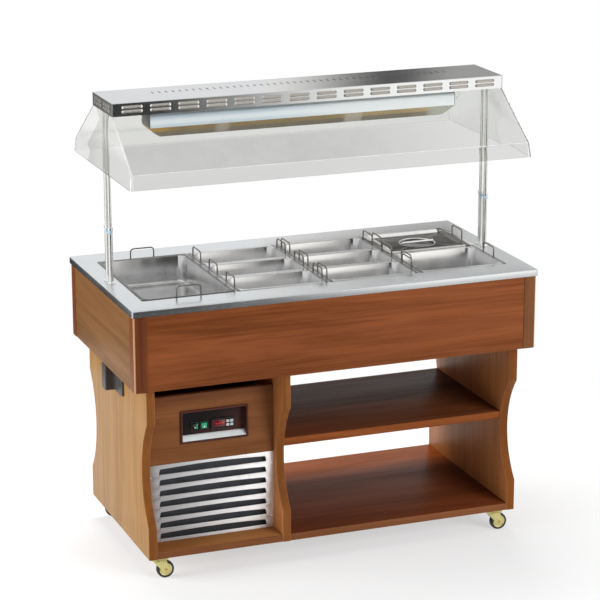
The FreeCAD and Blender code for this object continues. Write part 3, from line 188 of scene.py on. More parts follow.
def stand(loops, runs, axis):
    """Flat loops (rings, points, 2) set up along an axis, each ring at its own run."""
    first, second, along = AXES[axis]
    points = np.empty(loops.shape[:2] + (3,))
    points[..., first], points[..., second] = loops[..., 0], loops[..., 1]
    points[..., along] = np.asarray(runs, float)[:, None]
    return points


def slab(piece, outline, axis, low, high, bevel=1.0, steps=3):
    """An outline carried straight from low to high, drawn in along a quarter circle at both ends."""
    turn = np.linspace(0, np.pi / 2, steps + 1)
    inset, depth = bevel * (1 - np.sin(turn)), bevel * (1 - np.cos(turn))
    insets = np.concatenate([inset, inset[::-1]])
    runs = np.concatenate([low + depth, high - depth[::-1]])
    piece.tube(stand(outline + insets[:, None, None] * inward(outline), runs, axis))


def board(piece, low, high, bevel=1.2):
    """A box with every edge rounded: a round-cornered rectangle carried along the box's longest side."""
    low, high = np.asarray(low, float), np.asarray(high, float)
    axis = "xyz"[int(np.argmax(high - low))]
    first, second, along = AXES[axis]
    middle, half = (low + high) / 2, (high - low) / 2
    outline = rounded_loop(half[first], half[second], bevel * 1.05, 3) + middle[[first, second]]
    slab(piece, outline, axis, low[along], high[along], bevel)


def ring_stack(rings, axis="z", steps=6, centre=(0, 0)):
    """Round-cornered rectangles along an axis; a ring is half length, half width, corner radius, run."""
    loops = np.stack([rounded_loop(*ring[:3], steps) for ring in rings])
    return stand(loops + np.asarray(centre), [ring[3] for ring in rings], axis)


def loft(piece, centre, rings, axis="z", steps=6):
    """Round-cornered rectangles one after another, closed by a flat face at both ends."""
    piece.tube(ring_stack(rings, axis, steps, centre))


def lathe(piece, profile, centre, axis="z", sides=32, closed=False):
    """A profile of radius and run turned about an axis; a closed profile makes a ring without end faces."""
    radius, run = np.asarray(profile, float).T
    angle = np.linspace(0, 2 * np.pi, sides, endpoint=False)
    loops = np.stack([np.cos(angle), np.sin(angle)], axis=-1) * radius[:, None, None] + np.asarray(centre)
    rings = stand(loops, run, axis)
    if closed:
        piece.grid(rings, wrap_rows=True, wrap_columns=True)
    else:
        piece.tube(rings)


def wire(piece, path, radius, normal, sides=10):
    """A round wire: a circle carried along a flat path; the normal stands on the path's plane."""
    ahead = unit(np.gradient(path, axis=0))
    normal = np.asarray(normal, float)
    across = np.cross(ahead, normal)
    angle = np.linspace(0, 2 * np.pi, sides, endpoint=False)[None, :, None]
    piece.tube(path[:, None, :] + radius * (np.cos(angle) * normal + np.sin(angle) * across[:, None, :]))


# Materials


def add(tree, kind, sockets=None, **settings):
    """A node with its settings and inputs: a socket is linked, any other value is set."""
    node = tree.nodes.new(kind)
    for name, value in settings.items():
        setattr(node, name, value)
    for key, value in (sockets or {}).items():
        if isinstance(value, bpy.types.NodeSocket):
            tree.links.new(value, node.inputs[key])
        else:
            node.inputs[key].default_value = value
    return node


def effect(name, inputs, outputs):
    """An empty node group with its sockets, its input node and its output node."""
    tree = bpy.data.node_groups.new(name, "ShaderNodeTree")
    for label, kind, value in inputs:
        socket = tree.interface.new_socket(name=label, in_out="INPUT", socket_type=kind)
        if value is not None:
            socket.default_value = value
    for label, kind in outputs:
        tree.interface.new_socket(name=label, in_out="OUTPUT", socket_type=kind)
    return tree, tree.nodes.new("NodeGroupInput").outputs, tree.nodes.new("NodeGroupOutput").inputs


def math_node(tree, operation, first, second=0.0):
    """One sum of two values."""
    return add(tree, "ShaderNodeMath", {0: first, 1: second}, operation=operation).outputs[0]


def remap(tree, value, low, high, to_low=0.0, to_high=1.0):
    """A value moved smoothly from one span to another, held at the ends."""
    sockets = {"Value": value, "From Min": low, "From Max": high, "To Min": to_low, "To Max": to_high}
    return add(tree, "ShaderNodeMapRange", sockets, interpolation_type="SMOOTHSTEP").outputs["Result"]


def wood_effect():
    """Laminate wood: broad bands and fine pores, both drawn out along the vector's X."""
    tree, given, put = effect("wood_figure", [("Vector", "NodeSocketVector", None)],
                              [("Figure", "NodeSocketFloat"), ("Pores", "NodeSocketFloat")])
    bands = add(tree, "ShaderNodeTexNoise", {"Vector": given["Vector"], "Scale": 1.0, "Detail": 5.0,
                                             "Roughness": 0.62, "Distortion": 0.8})
    stretch = add(tree, "ShaderNodeMapping", {"Vector": given["Vector"], "Scale": (1.6, 9.0, 9.0)})
    streaks = add(tree, "ShaderNodeTexNoise", {"Vector": stretch.outputs[0], "Scale": 1.0, "Detail": 4.0,
                                               "Roughness": 0.7})
    fine = add(tree, "ShaderNodeMapping", {"Vector": given["Vector"], "Scale": (7.0, 55.0, 55.0)})
    pores = add(tree, "ShaderNodeTexNoise", {"Vector": fine.outputs[0], "Scale": 1.0, "Detail": 3.0})
    both = math_node(tree, "ADD", math_node(tree, "MULTIPLY", bands.outputs[0], 0.62),
                     math_node(tree, "MULTIPLY", streaks.outputs[0], 0.38))
    tree.links.new(remap(tree, both, 0.32, 0.68), put["Figure"])
    tree.links.new(remap(tree, pores.outputs[0], 0.56, 0.72), put["Pores"])
    return tree


def brush_effect():
    """Brushed metal: fine lines drawn out along the vector's X, and slow clouds of handling."""
    tree, given, put = effect("brushed_lines", [("Vector", "NodeSocketVector", None)],
                              [("Lines", "NodeSocketFloat"), ("Clouds", "NodeSocketFloat")])
    long = add(tree, "ShaderNodeMapping", {"Vector": given["Vector"], "Scale": (3.0, 420.0, 420.0)})
    lines = add(tree, "ShaderNodeTexNoise", {"Vector": long.outputs[0], "Scale": 1.0, "Detail": 4.0,
                                             "Roughness": 0.75})
    clouds = add(tree, "ShaderNodeTexNoise", {"Vector": given["Vector"], "Scale": 4.0, "Detail": 5.0,
                                              "Roughness": 0.6})
    tree.links.new(remap(tree, lines.outputs[0], 0.25, 0.75), put["Lines"])
    tree.links.new(remap(tree, clouds.outputs[0], 0.3, 0.7), put["Clouds"])
    return tree


def mould_effect():
    """Moulded or cast surface: a fine pebble and slow clouds."""
    tree, given, put = effect("mould_grain", [("Vector", "NodeSocketVector", None),
                                              ("Scale", "NodeSocketFloat", 900.0)],
                              [("Pebble", "NodeSocketFloat"), ("Clouds", "NodeSocketFloat")])
    pebble = add(tree, "ShaderNodeTexNoise", {"Vector": given["Vector"], "Scale": given["Scale"],
                                              "Detail": 2.0})
    clouds = add(tree, "ShaderNodeTexNoise", {"Vector": given["Vector"], "Scale": 18.0, "Detail": 5.0})
    tree.links.new(pebble.outputs[0], put["Pebble"])
    tree.links.new(remap(tree, clouds.outputs[0], 0.3, 0.7), put["Clouds"])
    return tree


WOOD, BRUSH, MOULD = wood_effect(), brush_effect(), mould_effect()
GRAIN_TURN = {"x": (0, 0, 0), "y": (0, 0, math.pi / 2), "z": (0, math.pi / 2, 0)}


def finish(name, **sockets):
    """A material with its tree and Principled shader; the sockets are constants."""
    material = bpy.data.materials.new(name)
    material.use_nodes = True
    tree = material.node_tree
    shader = tree.nodes["Principled BSDF"]
    for key, value in sockets.items():
        shader.inputs[key.replace("_", " ").title().replace("Ior", "IOR")].default_value = value
    return material, tree, shader


def use(tree, group, vector, **sockets):
    """A node group placed in a material."""
    node = add(tree, "ShaderNodeGroup", node_tree=group)
    tree.links.new(vector, node.inputs["Vector"])
    for key, value in sockets.items():
        node.inputs[key].default_value = value
    return node.outputs


def mapped(tree, scale=(1, 1, 1), turn=(0, 0, 0), shift=(0, 0, 0)):
    """Object coordinates moved, turned and stretched."""
    place = add(tree, "ShaderNodeTexCoord").outputs["Object"]
    return add(tree, "ShaderNodeMapping", {"Vector": place, "Location": shift, "Rotation": turn,
                                           "Scale": scale}).outputs[0]


def tint(tree, factor, low, high):
    """Two colours mixed by a factor; a colour is a socket or three numbers."""
    ends = [part if isinstance(part, bpy.types.NodeSocket) else (*part, 1) for part in (low, high)]
    mix = add(tree, "ShaderNodeMix", {"Factor": factor, 6: ends[0], 7: ends[1]}, data_type="RGBA")
    return mix.outputs[2]


def axis(tree):
    """Object coordinates one by one."""
    place = add(tree, "ShaderNodeTexCoord").outputs["Object"]
    return add(tree, "ShaderNodeSeparateXYZ", {0: place}).outputs


def bump(tree, shader, height, strength, distance):
    """A bump from a height."""
    node = add(tree, "ShaderNodeBump", {"Height": height, "Strength": strength, "Distance": distance})
    tree.links.new(node.outputs[0], shader.inputs["Normal"])


def wood(name, grain, edge, shift, faces=(), corner=None, gloss=0.1):
    """Laminate with the grain along one axis; a face past a place on an axis has its own tone, and so has
    a corner where the lengths of X and Y add up to more than a limit."""
    material, tree, shader = finish(name, specular_ior_level=gloss)
    place = axis(tree)
    turned = mapped(tree, (1, 1, 1), GRAIN_TURN[grain], shift)
    grained = add(tree, "ShaderNodeMapping", {"Vector": turned, "Scale": (1.1, 13.0, 13.0)}).outputs[0]
    figure = use(tree, WOOD, grained)
    colour = tint(tree, figure["Figure"], *edge)
    for along, start, end, tone in faces:
        own = tint(tree, figure["Figure"], *tone)
        colour = tint(tree, remap(tree, place[along], start, end), colour, own)
    if corner:
        both = [math_node(tree, "ABSOLUTE", place[along]) for along in "XY"]
        colour = tint(tree, remap(tree, math_node(tree, "ADD", *both), *corner[:2]), colour, corner[2])
    dark = [part * 0.45 for part in edge[0]]
    pores = tint(tree, math_node(tree, "MULTIPLY", figure["Pores"], 0.35), colour, dark)
    tree.links.new(pores, shader.inputs["Base Color"])
    tree.links.new(remap(tree, figure["Figure"], 0, 1, 0.42, 0.33), shader.inputs["Roughness"])
    bump(tree, shader, math_node(tree, "MULTIPLY", figure["Pores"], -1.0), 0.12, 0.0004)
    return material


def brush_mix(tree, brushed):
    """Brush lines and clouds as one value."""
    lines = math_node(tree, "MULTIPLY", brushed["Lines"], 0.55)
    return math_node(tree, "ADD", lines, math_node(tree, "MULTIPLY", brushed["Clouds"], 0.45))


def steel(name, dark, light, rough, grain="x", metallic=1.0, relief=0.05):
    """Stainless sheet with brush lines along one axis."""
    material, tree, shader = finish(name, metallic=metallic)
    brushed = use(tree, BRUSH, mapped(tree, (1, 1, 1), GRAIN_TURN[grain]))
    mixed = brush_mix(tree, brushed)
    tree.links.new(tint(tree, mixed, dark, light), shader.inputs["Base Color"])
    tree.links.new(remap(tree, mixed, 0, 1, *rough), shader.inputs["Roughness"])
    bump(tree, shader, brushed["Lines"], relief, 0.0002)
    return material


def plastic(name, dark, light, rough, pebble=900.0, relief=0.1, **sockets):
    """Moulded plastic or rubber with a fine pebble."""
    material, tree, shader = finish(name, **sockets)
    grain = use(tree, MOULD, mapped(tree), Scale=pebble)
    tree.links.new(tint(tree, grain["Clouds"], dark, light), shader.inputs["Base Color"])
    tree.links.new(remap(tree, grain["Clouds"], 0, 1, *rough), shader.inputs["Roughness"])
    bump(tree, shader, grain["Pebble"], relief, 0.0003)
    return material


def clear_sheet():
    """Grey clear acrylic with painted light and shade: darkest low on the front slope, paler up, to the back
    and right.
    """
    material, tree, shader = finish("clear_acrylic", transmission_weight=1.0, ior=1.2, roughness=0.0)
    grain = use(tree, MOULD, mapped(tree), Scale=40.0)
    place = axis(tree)
    # Painted light and shade: the grey is darkest low on the front slope, paler higher up, towards the right,
    # towards the back and on the ends.
    left = tint(tree, grain["Clouds"], (0.555, 0.56, 0.55), (0.58, 0.585, 0.575))
    upper = tint(tree, remap(tree, place["Z"], 1.460, 1.470), left, (0.76, 0.765, 0.75))
    lower = tint(tree, remap(tree, place["Z"], 1.392, 1.388), upper, (0.67, 0.675, 0.66))
    front = tint(tree, remap(tree, place["X"], -0.1, 0.62), lower, (0.72, 0.725, 0.715))
    long = tint(tree, remap(tree, place["Y"], -0.25, 0.3), front, (0.92, 0.925, 0.91))
    end = tint(tree, remap(tree, place["Z"], 1.40, 1.47), (0.74, 0.745, 0.735), (0.90, 0.905, 0.89))
    near = tint(tree, remap(tree, place["X"], -0.697, -0.694), end, long)
    sheet = tint(tree, remap(tree, place["X"], 0.694, 0.697), near, (0.95, 0.955, 0.945))
    tree.links.new(sheet, shader.inputs["Base Color"])
    open_sheet = add(tree, "ShaderNodeBsdfTransparent", {"Color": (0.95, 0.95, 0.95, 1)})
    shadow = add(tree, "ShaderNodeLightPath").outputs["Is Shadow Ray"]
    mix = add(tree, "ShaderNodeMixShader", {0: shadow, 1: shader.outputs[0], 2: open_sheet.outputs[0]})
    tree.links.new(mix.outputs[0], tree.nodes["Material Output"].inputs["Surface"])
    return material


def reflector_finish():
    """Gold sheet, duller below, with painted glints, a painted highlight at its left end and a painted pale
    reflection at its right.
    """
    material, tree, shader = finish("gold_reflector", metallic=0.55, roughness=0.24)
    place = axis(tree)
    brushed = use(tree, BRUSH, mapped(tree))
    gold = tint(tree, brushed["Clouds"], (0.32, 0.205, 0.085), (0.47, 0.335, 0.155))
    # Painted light: the gold turns paler towards the right and has a painted highlight at its left end.
    rightwards = tint(tree, remap(tree, place["X"], -0.1, 0.3), gold, (0.60, 0.45, 0.23))
    left_highlight = tint(tree, remap(tree, place["X"], -0.45, -0.51), rightwards, (0.62, 0.37, 0.10))
    band = tint(tree, remap(tree, place["Z"], 1.464, 1.460), left_highlight, (0.31, 0.27, 0.20))
    # Painted glints come and go along X; a painted pale reflection covers the right end.
    glint_noise = add(tree, "ShaderNodeTexNoise", {"Vector": mapped(tree, (9, 0.2, 0.2)), "Scale": 1.0,
                                             "Detail": 1.0})
    lit = tint(tree, remap(tree, glint_noise.outputs[0], 0.6, 0.7, 0.0, 0.55), band, (0.80, 0.76, 0.66))
    pale = tint(tree, remap(tree, place["X"], 0.44, 0.47), lit, (0.50, 0.51, 0.43))
    tree.links.new(pale, shader.inputs["Base Color"])
    bump(tree, shader, brushed["Lines"], 0.05, 0.0002)
    return material


def lamp_finish():
    """Pale blue enamel; painted highlights mid-height and towards its right end, painted shade along its top.
    """
    material, tree, shader = finish("lamp_white", coat_weight=0.25, coat_roughness=0.12, roughness=0.3)
    place = axis(tree)
    grain = use(tree, MOULD, mapped(tree), Scale=500.0)
    blue = tint(tree, grain["Clouds"], (0.60, 0.715, 0.80), (0.65, 0.765, 0.85))
    # Painted highlight along the middle of the height and towards the right; painted shade, grey, along the
    # top.
    from_middle = math_node(tree, "ABSOLUTE", math_node(tree, "SUBTRACT", place["Z"], 1.497))
    highlight_band = tint(tree, remap(tree, from_middle, 0.003, 0.014), (0.88, 0.95, 0.99), blue)
    white = tint(tree, remap(tree, place["X"], -0.2, 0.25), highlight_band, (0.92, 0.97, 0.99))
    whole = tint(tree, remap(tree, place["Z"], 1.514, 1.524), white, (0.42, 0.47, 0.50))
    tree.links.new(whole, shader.inputs["Base Color"])
    bump(tree, shader, grain["Pebble"], 0.03, 0.0003)
    return material


def grille_finish():
    """Bright steel sheet with painted shade on its left, lighter towards its right end."""
    material, tree, shader = finish("grille_steel", metallic=0.05)
    brushed = use(tree, BRUSH, mapped(tree))
    # Painted shade: dark grey on the left of the sheet, bright towards the right.
    left = tint(tree, brushed["Clouds"], (0.35, 0.35, 0.36), (0.39, 0.39, 0.40))
    right = tint(tree, brushed["Clouds"], (0.94, 0.94, 0.94), (0.98, 0.98, 0.98))
    rightwards = remap(tree, axis(tree)["X"], -0.62, -0.24)
    tree.links.new(tint(tree, rightwards, left, right), shader.inputs["Base Color"])
    tree.links.new(remap(tree, brushed["Clouds"], 0, 1, 0.26, 0.38), shader.inputs["Roughness"])
    return material


def shelf_finish():
    """Bright steel sheet with brush lines along X, with painted shade, black, on the inner sides of the
    folded shelf.
    """
    material, tree, shader = finish("shelf_steel", metallic=1.0)
    place = axis(tree)
    brushed = use(tree, BRUSH, mapped(tree))
    mixed = brush_mix(tree, brushed)
    bright = tint(tree, mixed, (0.495, 0.51, 0.52), (0.61, 0.63, 0.64))
    # Painted shade: the inner sides of the folded shelf are black.
    within_y = remap(tree, math_node(tree, "ABSOLUTE", place["Y"]), 0.1141, 0.1137)
    within_x = remap(tree, math_node(tree, "ABSOLUTE", place["X"]), 0.6986, 0.6982)
    inside = math_node(tree, "MULTIPLY", math_node(tree, "MULTIPLY", within_x, within_y),
                       remap(tree, place["Z"], 1.5837, 1.5833))
    tree.links.new(tint(tree, inside, bright, (0.03, 0.03, 0.03)), shader.inputs["Base Color"])
    tree.links.new(remap(tree, mixed, 0, 1, 0.11, 0.19), shader.inputs["Roughness"])
    bump(tree, shader, brushed["Lines"], 0.05, 0.0002)
    return material


def louvre_finish():
    """Pressed steel; the louvres repeat along X. Their ends carry painted highlights on the left of the shelf
    that turn to painted shade on its right, and their bodies are painted a little lighter on the left."""
    material, tree, shader = finish("louvre_steel", metallic=0.8)
    place = axis(tree)
    brushed = use(tree, BRUSH, mapped(tree))
    # Painted light: bodies a little lighter on the left; ends with painted highlights on the left, painted
    # shade on the right.
    left = tint(tree, brushed["Clouds"], (0.36, 0.34, 0.31), (0.45, 0.43, 0.39))
    rightwards = remap(tree, place["X"], -0.5, 0.2)
    body = tint(tree, rightwards, left, (0.38, 0.36, 0.33))
    tip = tint(tree, rightwards, (0.90, 0.89, 0.86), (0.22, 0.21, 0.20))
    pitch = LOUVRE_PITCH / 1000
    repeat = math_node(tree, "FLOORED_MODULO", place["X"], pitch)
    from_middle = math_node(tree, "ABSOLUTE", math_node(tree, "SUBTRACT", repeat, pitch / 2))
    tip_glints = remap(tree, from_middle, 0.0290, 0.0325)
    tree.links.new(tint(tree, tip_glints, body, tip), shader.inputs["Base Color"])
    tree.links.new(remap(tree, brushed["Clouds"], 0, 1, 0.22, 0.34), shader.inputs["Roughness"])
    return material


def lid_finish():
    """Bright pressed steel with a painted dark reflection on the slope of its right border and a painted grey
    one in its dish.
    """
    material, tree, shader = finish("lid_steel", metallic=1.0)
    brushed = use(tree, BRUSH, mapped(tree))
    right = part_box("pan_lid")[1][0]
    bright = tint(tree, brushed["Clouds"], (0.74, 0.74, 0.73), (0.92, 0.92, 0.91))
    place = axis(tree)
    # Painted reflection: dark on the slope of the right border, grey down in the dish.
    slope = math_node(tree, "MULTIPLY", remap(tree, place["X"], right - 0.0345, right - 0.0325),
                      remap(tree, place["X"], right - 0.0138, right - 0.0148))
    bordered = tint(tree, slope, bright, (0.16, 0.155, 0.15))
    deep = remap(tree, place["Z"], 0.9494, 0.9470)
    tree.links.new(tint(tree, deep, bordered, (0.34, 0.335, 0.33)), shader.inputs["Base Color"])
    tree.links.new(remap(tree, brushed["Clouds"], 0, 1, 0.14, 0.26), shader.inputs["Roughness"])
    bump(tree, shader, brushed["Lines"], 0.03, 0.0002)
    return material


def pan_finish(name, dark, light, all_round):
    """Pan steel whose flange above the worktop is painted dark as shade and made less metallic, all round or
    only at its sides, which repeat with each column of pans along X."""
    material, tree, shader = finish(name, specular_ior_level=0.2)
    place = axis(tree)
    brushed = use(tree, BRUSH, mapped(tree))
    rim = remap(tree, place["Z"], 0.9558, 0.9564)
    pitch = COLUMN_PITCH / 1000
    column = math_node(tree, "FLOORED_MODULO", math_node(tree, "ADD", place["X"], 2 * pitch), pitch)
    from_middle = math_node(tree, "ABSOLUTE", math_node(tree, "SUBTRACT", column, pitch / 2))
    if not all_round:
        rim = math_node(tree, "MULTIPLY", rim, remap(tree, from_middle, 0.1485, 0.15))
    # Painted shade: the flange is dark, all round on one pan and at the sides on the others.
    bright = tint(tree, brushed["Clouds"], (0.55, 0.55, 0.55), (0.72, 0.72, 0.72))
    shaded_flange = tint(tree, brushed["Clouds"], dark, light)
    tree.links.new(tint(tree, rim, bright, shaded_flange), shader.inputs["Base Color"])
    tree.links.new(remap(tree, rim, 0, 1, 1.0, 0.15), shader.inputs["Metallic"])
    tree.links.new(remap(tree, brushed["Clouds"], 0, 1, 0.16, 0.26), shader.inputs["Roughness"])
    return material


def bezel_finish():
    """Maroon moulding whose recess carries a painted shadow: black at the upper left, maroon at the lower
    right.
    """
    material, tree, shader = finish("bezel_maroon", roughness=0.34, specular_ior_level=0.25)
    place = axis(tree)
    grain = use(tree, MOULD, mapped(tree), Scale=900.0)
    maroon = tint(tree, grain["Clouds"], (0.058, 0.013, 0.009), (0.084, 0.020, 0.013))
    # Painted shadow in the recess, black at the upper left where the rim shades it, fading to maroon.
    slant = math_node(tree, "SUBTRACT", math_node(tree, "MULTIPLY", place["X"], 8.3),
                      math_node(tree, "MULTIPLY", place["Z"], 17.0))
    deep = tint(tree, remap(tree, slant, -12.6, -10.6), (0.006, 0.005, 0.005), (0.060, 0.020, 0.014))
    whole = tint(tree, remap(tree, place["Y"], -0.2525, -0.249), maroon, deep)
    tree.links.new(whole, shader.inputs["Base Color"])
    bump(tree, shader, grain["Pebble"], 0.1, 0.0003)
    return material


CASING_TONE = (0.124, 0.0325, 0.0074), (0.260, 0.077, 0.023)
POST_TONE = (0.095, 0.024, 0.007), (0.165, 0.046, 0.015)
END_TONE = (0.111, 0.050, 0.015), (0.192, 0.088, 0.030)
EDGE_TONE = (0.150, 0.050, 0.010), (0.240, 0.084, 0.019)
RIGHT_EDGE_TONE = (0.132, 0.039, 0.006), (0.210, 0.065, 0.011)
UNIT_TONE = (0.138, 0.050, 0.015), (0.220, 0.083, 0.028)
# Painted shadow of the casing along the top of the unit front.
UNIT_SHADOW_TONE = (0.092, 0.033, 0.012), (0.150, 0.056, 0.022)
FACE_TONE = (0.222, 0.113, 0.034), (0.333, 0.177, 0.056)
# Painted light: a lit copy of the laminate for the panels' inner faces.
LIT_INNER_TONE = (0.360, 0.140, 0.046), (0.540, 0.215, 0.072)
# Painted light and shade on the bottom boards: dark where the shelf shades them, lit in the left bay and at
# the back.
BOARD_TONE = (0.108, 0.028, 0.009), (0.185, 0.048, 0.016)
LIT_BOARD_TONE = (0.270, 0.112, 0.034), (0.390, 0.160, 0.050)
LIT_BACK_BOARD_TONE = (0.165, 0.038, 0.005), (0.280, 0.066, 0.009)
FRONT_TONE = (0.150, 0.056, 0.022), (0.250, 0.095, 0.040)
# Painted shade: the shelf is dark under the casing, less so towards its front.
SHADED_SHELF_TONE = (0.045, 0.015, 0.004), (0.095, 0.031, 0.009)
SHELF_NEAR_TONE = (0.090, 0.028, 0.010), (0.180, 0.056, 0.021)
# Painted light: the right-hand corner posts are lighter.
LIT_RIGHT_POST_TONE = (0.130, 0.050, 0.018), (0.215, 0.084, 0.033)
WOOD_CASING = wood("casing_wood", "x", CASING_TONE, (0.31, 0.2, 0.55))
WOOD_END = wood("casing_end_wood", "y", END_TONE, (0.1, 0.7, 0.2))
# Painted light on the posts: the right-hand ones lighter, and a painted highlight stripe down each rounded
# outer corner.
WOOD_POST = wood("corner_post_wood", "z", POST_TONE, (0.6, 0.1, 0.9), [("X", 0.5, 0.6, LIT_RIGHT_POST_TONE)],
                 corner=(1.0840, 1.0852, (0.42, 0.24, 0.12)))
# The unit front is darker along its top: painted shadow of the casing.
WOOD_FRONT = wood("unit_front_wood", "x", UNIT_TONE, (0.8, 0.4, 0.1), [("Z", 0.565, 0.614, UNIT_SHADOW_TONE)])
BOARD_FRONT, SHELF_FRONT = (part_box(node)[0][1] for node in ("bottom_boards", "mid_shelf"))
# Painted light at the back and in the left bay; the base tone is painted shade.
WOOD_BOARD = wood("board_wood", "x", BOARD_TONE, (0.5, 0.9, 0.3),
                  [("Y", 0.14, 0.24, LIT_BACK_BOARD_TONE), ("X", -0.17, -0.19, LIT_BOARD_TONE),
                   ("Y", BOARD_FRONT + 0.0014, BOARD_FRONT + 0.0004, FRONT_TONE)], gloss=0.03)
# Painted shade over the shelf, lighter towards its front; the front edge has the casing tone.
WOOD_SHELF = wood("shelf_wood", "x", SHADED_SHELF_TONE, (0.2, 0.6, 0.7),
                  [("Y", 0.06, -0.12, SHELF_NEAR_TONE),
                   ("Y", SHELF_FRONT + 0.0014, SHELF_FRONT + 0.0004, CASING_TONE)], gloss=0.02)
SATIN = steel("satin_worktop", (0.62, 0.645, 0.665), (0.68, 0.705, 0.725), (0.22, 0.28), relief=0.012)
# Dark tones for the painted shade on the pans' flanges.
PAN_STEEL = pan_finish("pan_steel", (0.09, 0.09, 0.088), (0.15, 0.148, 0.145), False)
RIM_STEEL = pan_finish("dark_rim_steel", (0.035, 0.034, 0.032), (0.075, 0.072, 0.068), True)
SHELF_STEEL = shelf_finish()
LOUVRE_STEEL = louvre_finish()
LID_STEEL = lid_finish()
# The lid's sunk flat is dark steel: a painted dark reflection.
LID_FLAT = steel("lid_flat", (0.19, 0.18, 0.17), (0.26, 0.25, 0.24), (0.08, 0.16))
POST_STEEL = steel("post_steel", (0.86, 0.86, 0.84), (0.96, 0.96, 0.94), (0.16, 0.28), "z")
WIRE_STEEL = steel("wire_steel", (0.20, 0.18, 0.16), (0.33, 0.30, 0.27), (0.18, 0.30), "y")
DARK_METAL = steel("element_metal", (0.16, 0.15, 0.14), (0.28, 0.26, 0.24), (0.35, 0.55))
ZINC = steel("yellow_zinc", (0.62, 0.54, 0.22), (0.80, 0.73, 0.34), (0.26, 0.40), "z")
BRASS = steel("brass_nut", (0.60, 0.44, 0.16), (0.74, 0.56, 0.24), (0.22, 0.34))
GOLD = reflector_finish()
GRILLE_STEEL = grille_finish()
STRIP = steel("bare_strip", (0.88, 0.97, 0.97), (0.94, 1.0, 1.0), (0.34, 0.44), "x", 0.05)
CLEAR = clear_sheet()
LAMP_WHITE = lamp_finish()
# White for the painted highlights along the hood's folds.
FOLD_WHITE = plastic("fold_white", (0.80, 0.80, 0.79), (0.88, 0.88, 0.87), (0.2, 0.3), 300.0, 0.03)
CAP_GREY = plastic("cap_grey", (0.050, 0.048, 0.043), (0.075, 0.072, 0.064), (0.36, 0.5))
CERAMIC = plastic("lamp_ceramic", (0.70, 0.66, 0.60), (0.82, 0.79, 0.74), (0.4, 0.55))
MAROON = bezel_finish()
CHARCOAL = plastic("bracket_charcoal", (0.040, 0.034, 0.031), (0.060, 0.051, 0.047), (0.40, 0.55))
BLACK = plastic("black_gloss", (0.010, 0.010, 0.010), (0.020, 0.020, 0.021), (0.18, 0.30))
GREEN = plastic("rocker_green", (0.006, 0.220, 0.100), (0.012, 0.330, 0.150), (0.16, 0.26), 300.0, 0.04,
                coat_weight=0.5)
KEY = plastic("key_grey", (0.42, 0.44, 0.45), (0.56, 0.58, 0.59), (0.34, 0.46))
TYRE = plastic("tyre_black", (0.012, 0.012, 0.012), (0.026, 0.025, 0.024), (0.55, 0.72), 1400.0, 0.25)
BAND = plastic("blue_band", (0.28, 0.42, 0.50), (0.36, 0.50, 0.58), (0.30, 0.42))
# Painted shade: a dark sheet stands in for the shade behind the grille.
DARK_SHADE_SHEET = plastic("filter_mesh", (0.026, 0.029, 0.034), (0.042, 0.046, 0.053), (0.5, 0.7), 700.0, 0.3)
LENS = plastic("rocker_lens", (0.80, 0.82, 0.80), (0.90, 0.92, 0.90), (0.14, 0.22))


def display_finish():
    """A dark red window whose tone drifts a little from place to place."""
    material, tree, shader = finish("display_red", coat_weight=0.5, coat_roughness=0.08)
    grain = use(tree, MOULD, mapped(tree), Scale=260.0)
    tree.links.new(tint(tree, grain["Clouds"], (0.10, 0.004, 0.005), (0.19, 0.008, 0.008)),
                   shader.inputs["Base Color"])
    tree.links.new(remap(tree, grain["Clouds"], 0, 1, 0.18, 0.28), shader.inputs["Roughness"])
    return material


def lit_finish():
    """Lit bars of the display."""
    material, tree, shader = finish("display_bars", emission_strength=0.6)
    grain = use(tree, MOULD, mapped(tree), Scale=400.0)
    colour = tint(tree, grain["Clouds"], (0.55, 0.02, 0.02), (0.80, 0.05, 0.04))
    tree.links.new(colour, shader.inputs["Base Color"])
    tree.links.new(colour, shader.inputs["Emission Color"])
    return material


DISPLAY, LIT = display_finish(), lit_finish()


# Base: waisted panels, boards and shelf


def waisted_outline():
    """A panel from the end: a rectangle whose front and back are arcs between the waist's two corners."""
    low, high = box_mm("left_side_panel")
    half, depth, waist_low, waist_high = high[1], 66.0, 188.0, 553.0
    chord = (waist_high - waist_low) / 2
    radius = (chord ** 2 + depth ** 2) / (2 * depth)
    swing = np.linspace(-1, 1, 33) * math.asin(chord / radius)
    back = np.stack([half - depth + radius - radius * np.cos(swing),
                     (waist_low + waist_high) / 2 + radius * np.sin(swing)], axis=-1)
    foot = np.array([[-half, low[2]], [half, low[2]]])
    head = np.array([[half, high[2]], [-half, high[2]]])
    return np.concatenate([foot, back, head, back[::-1] * (-1, 1)])


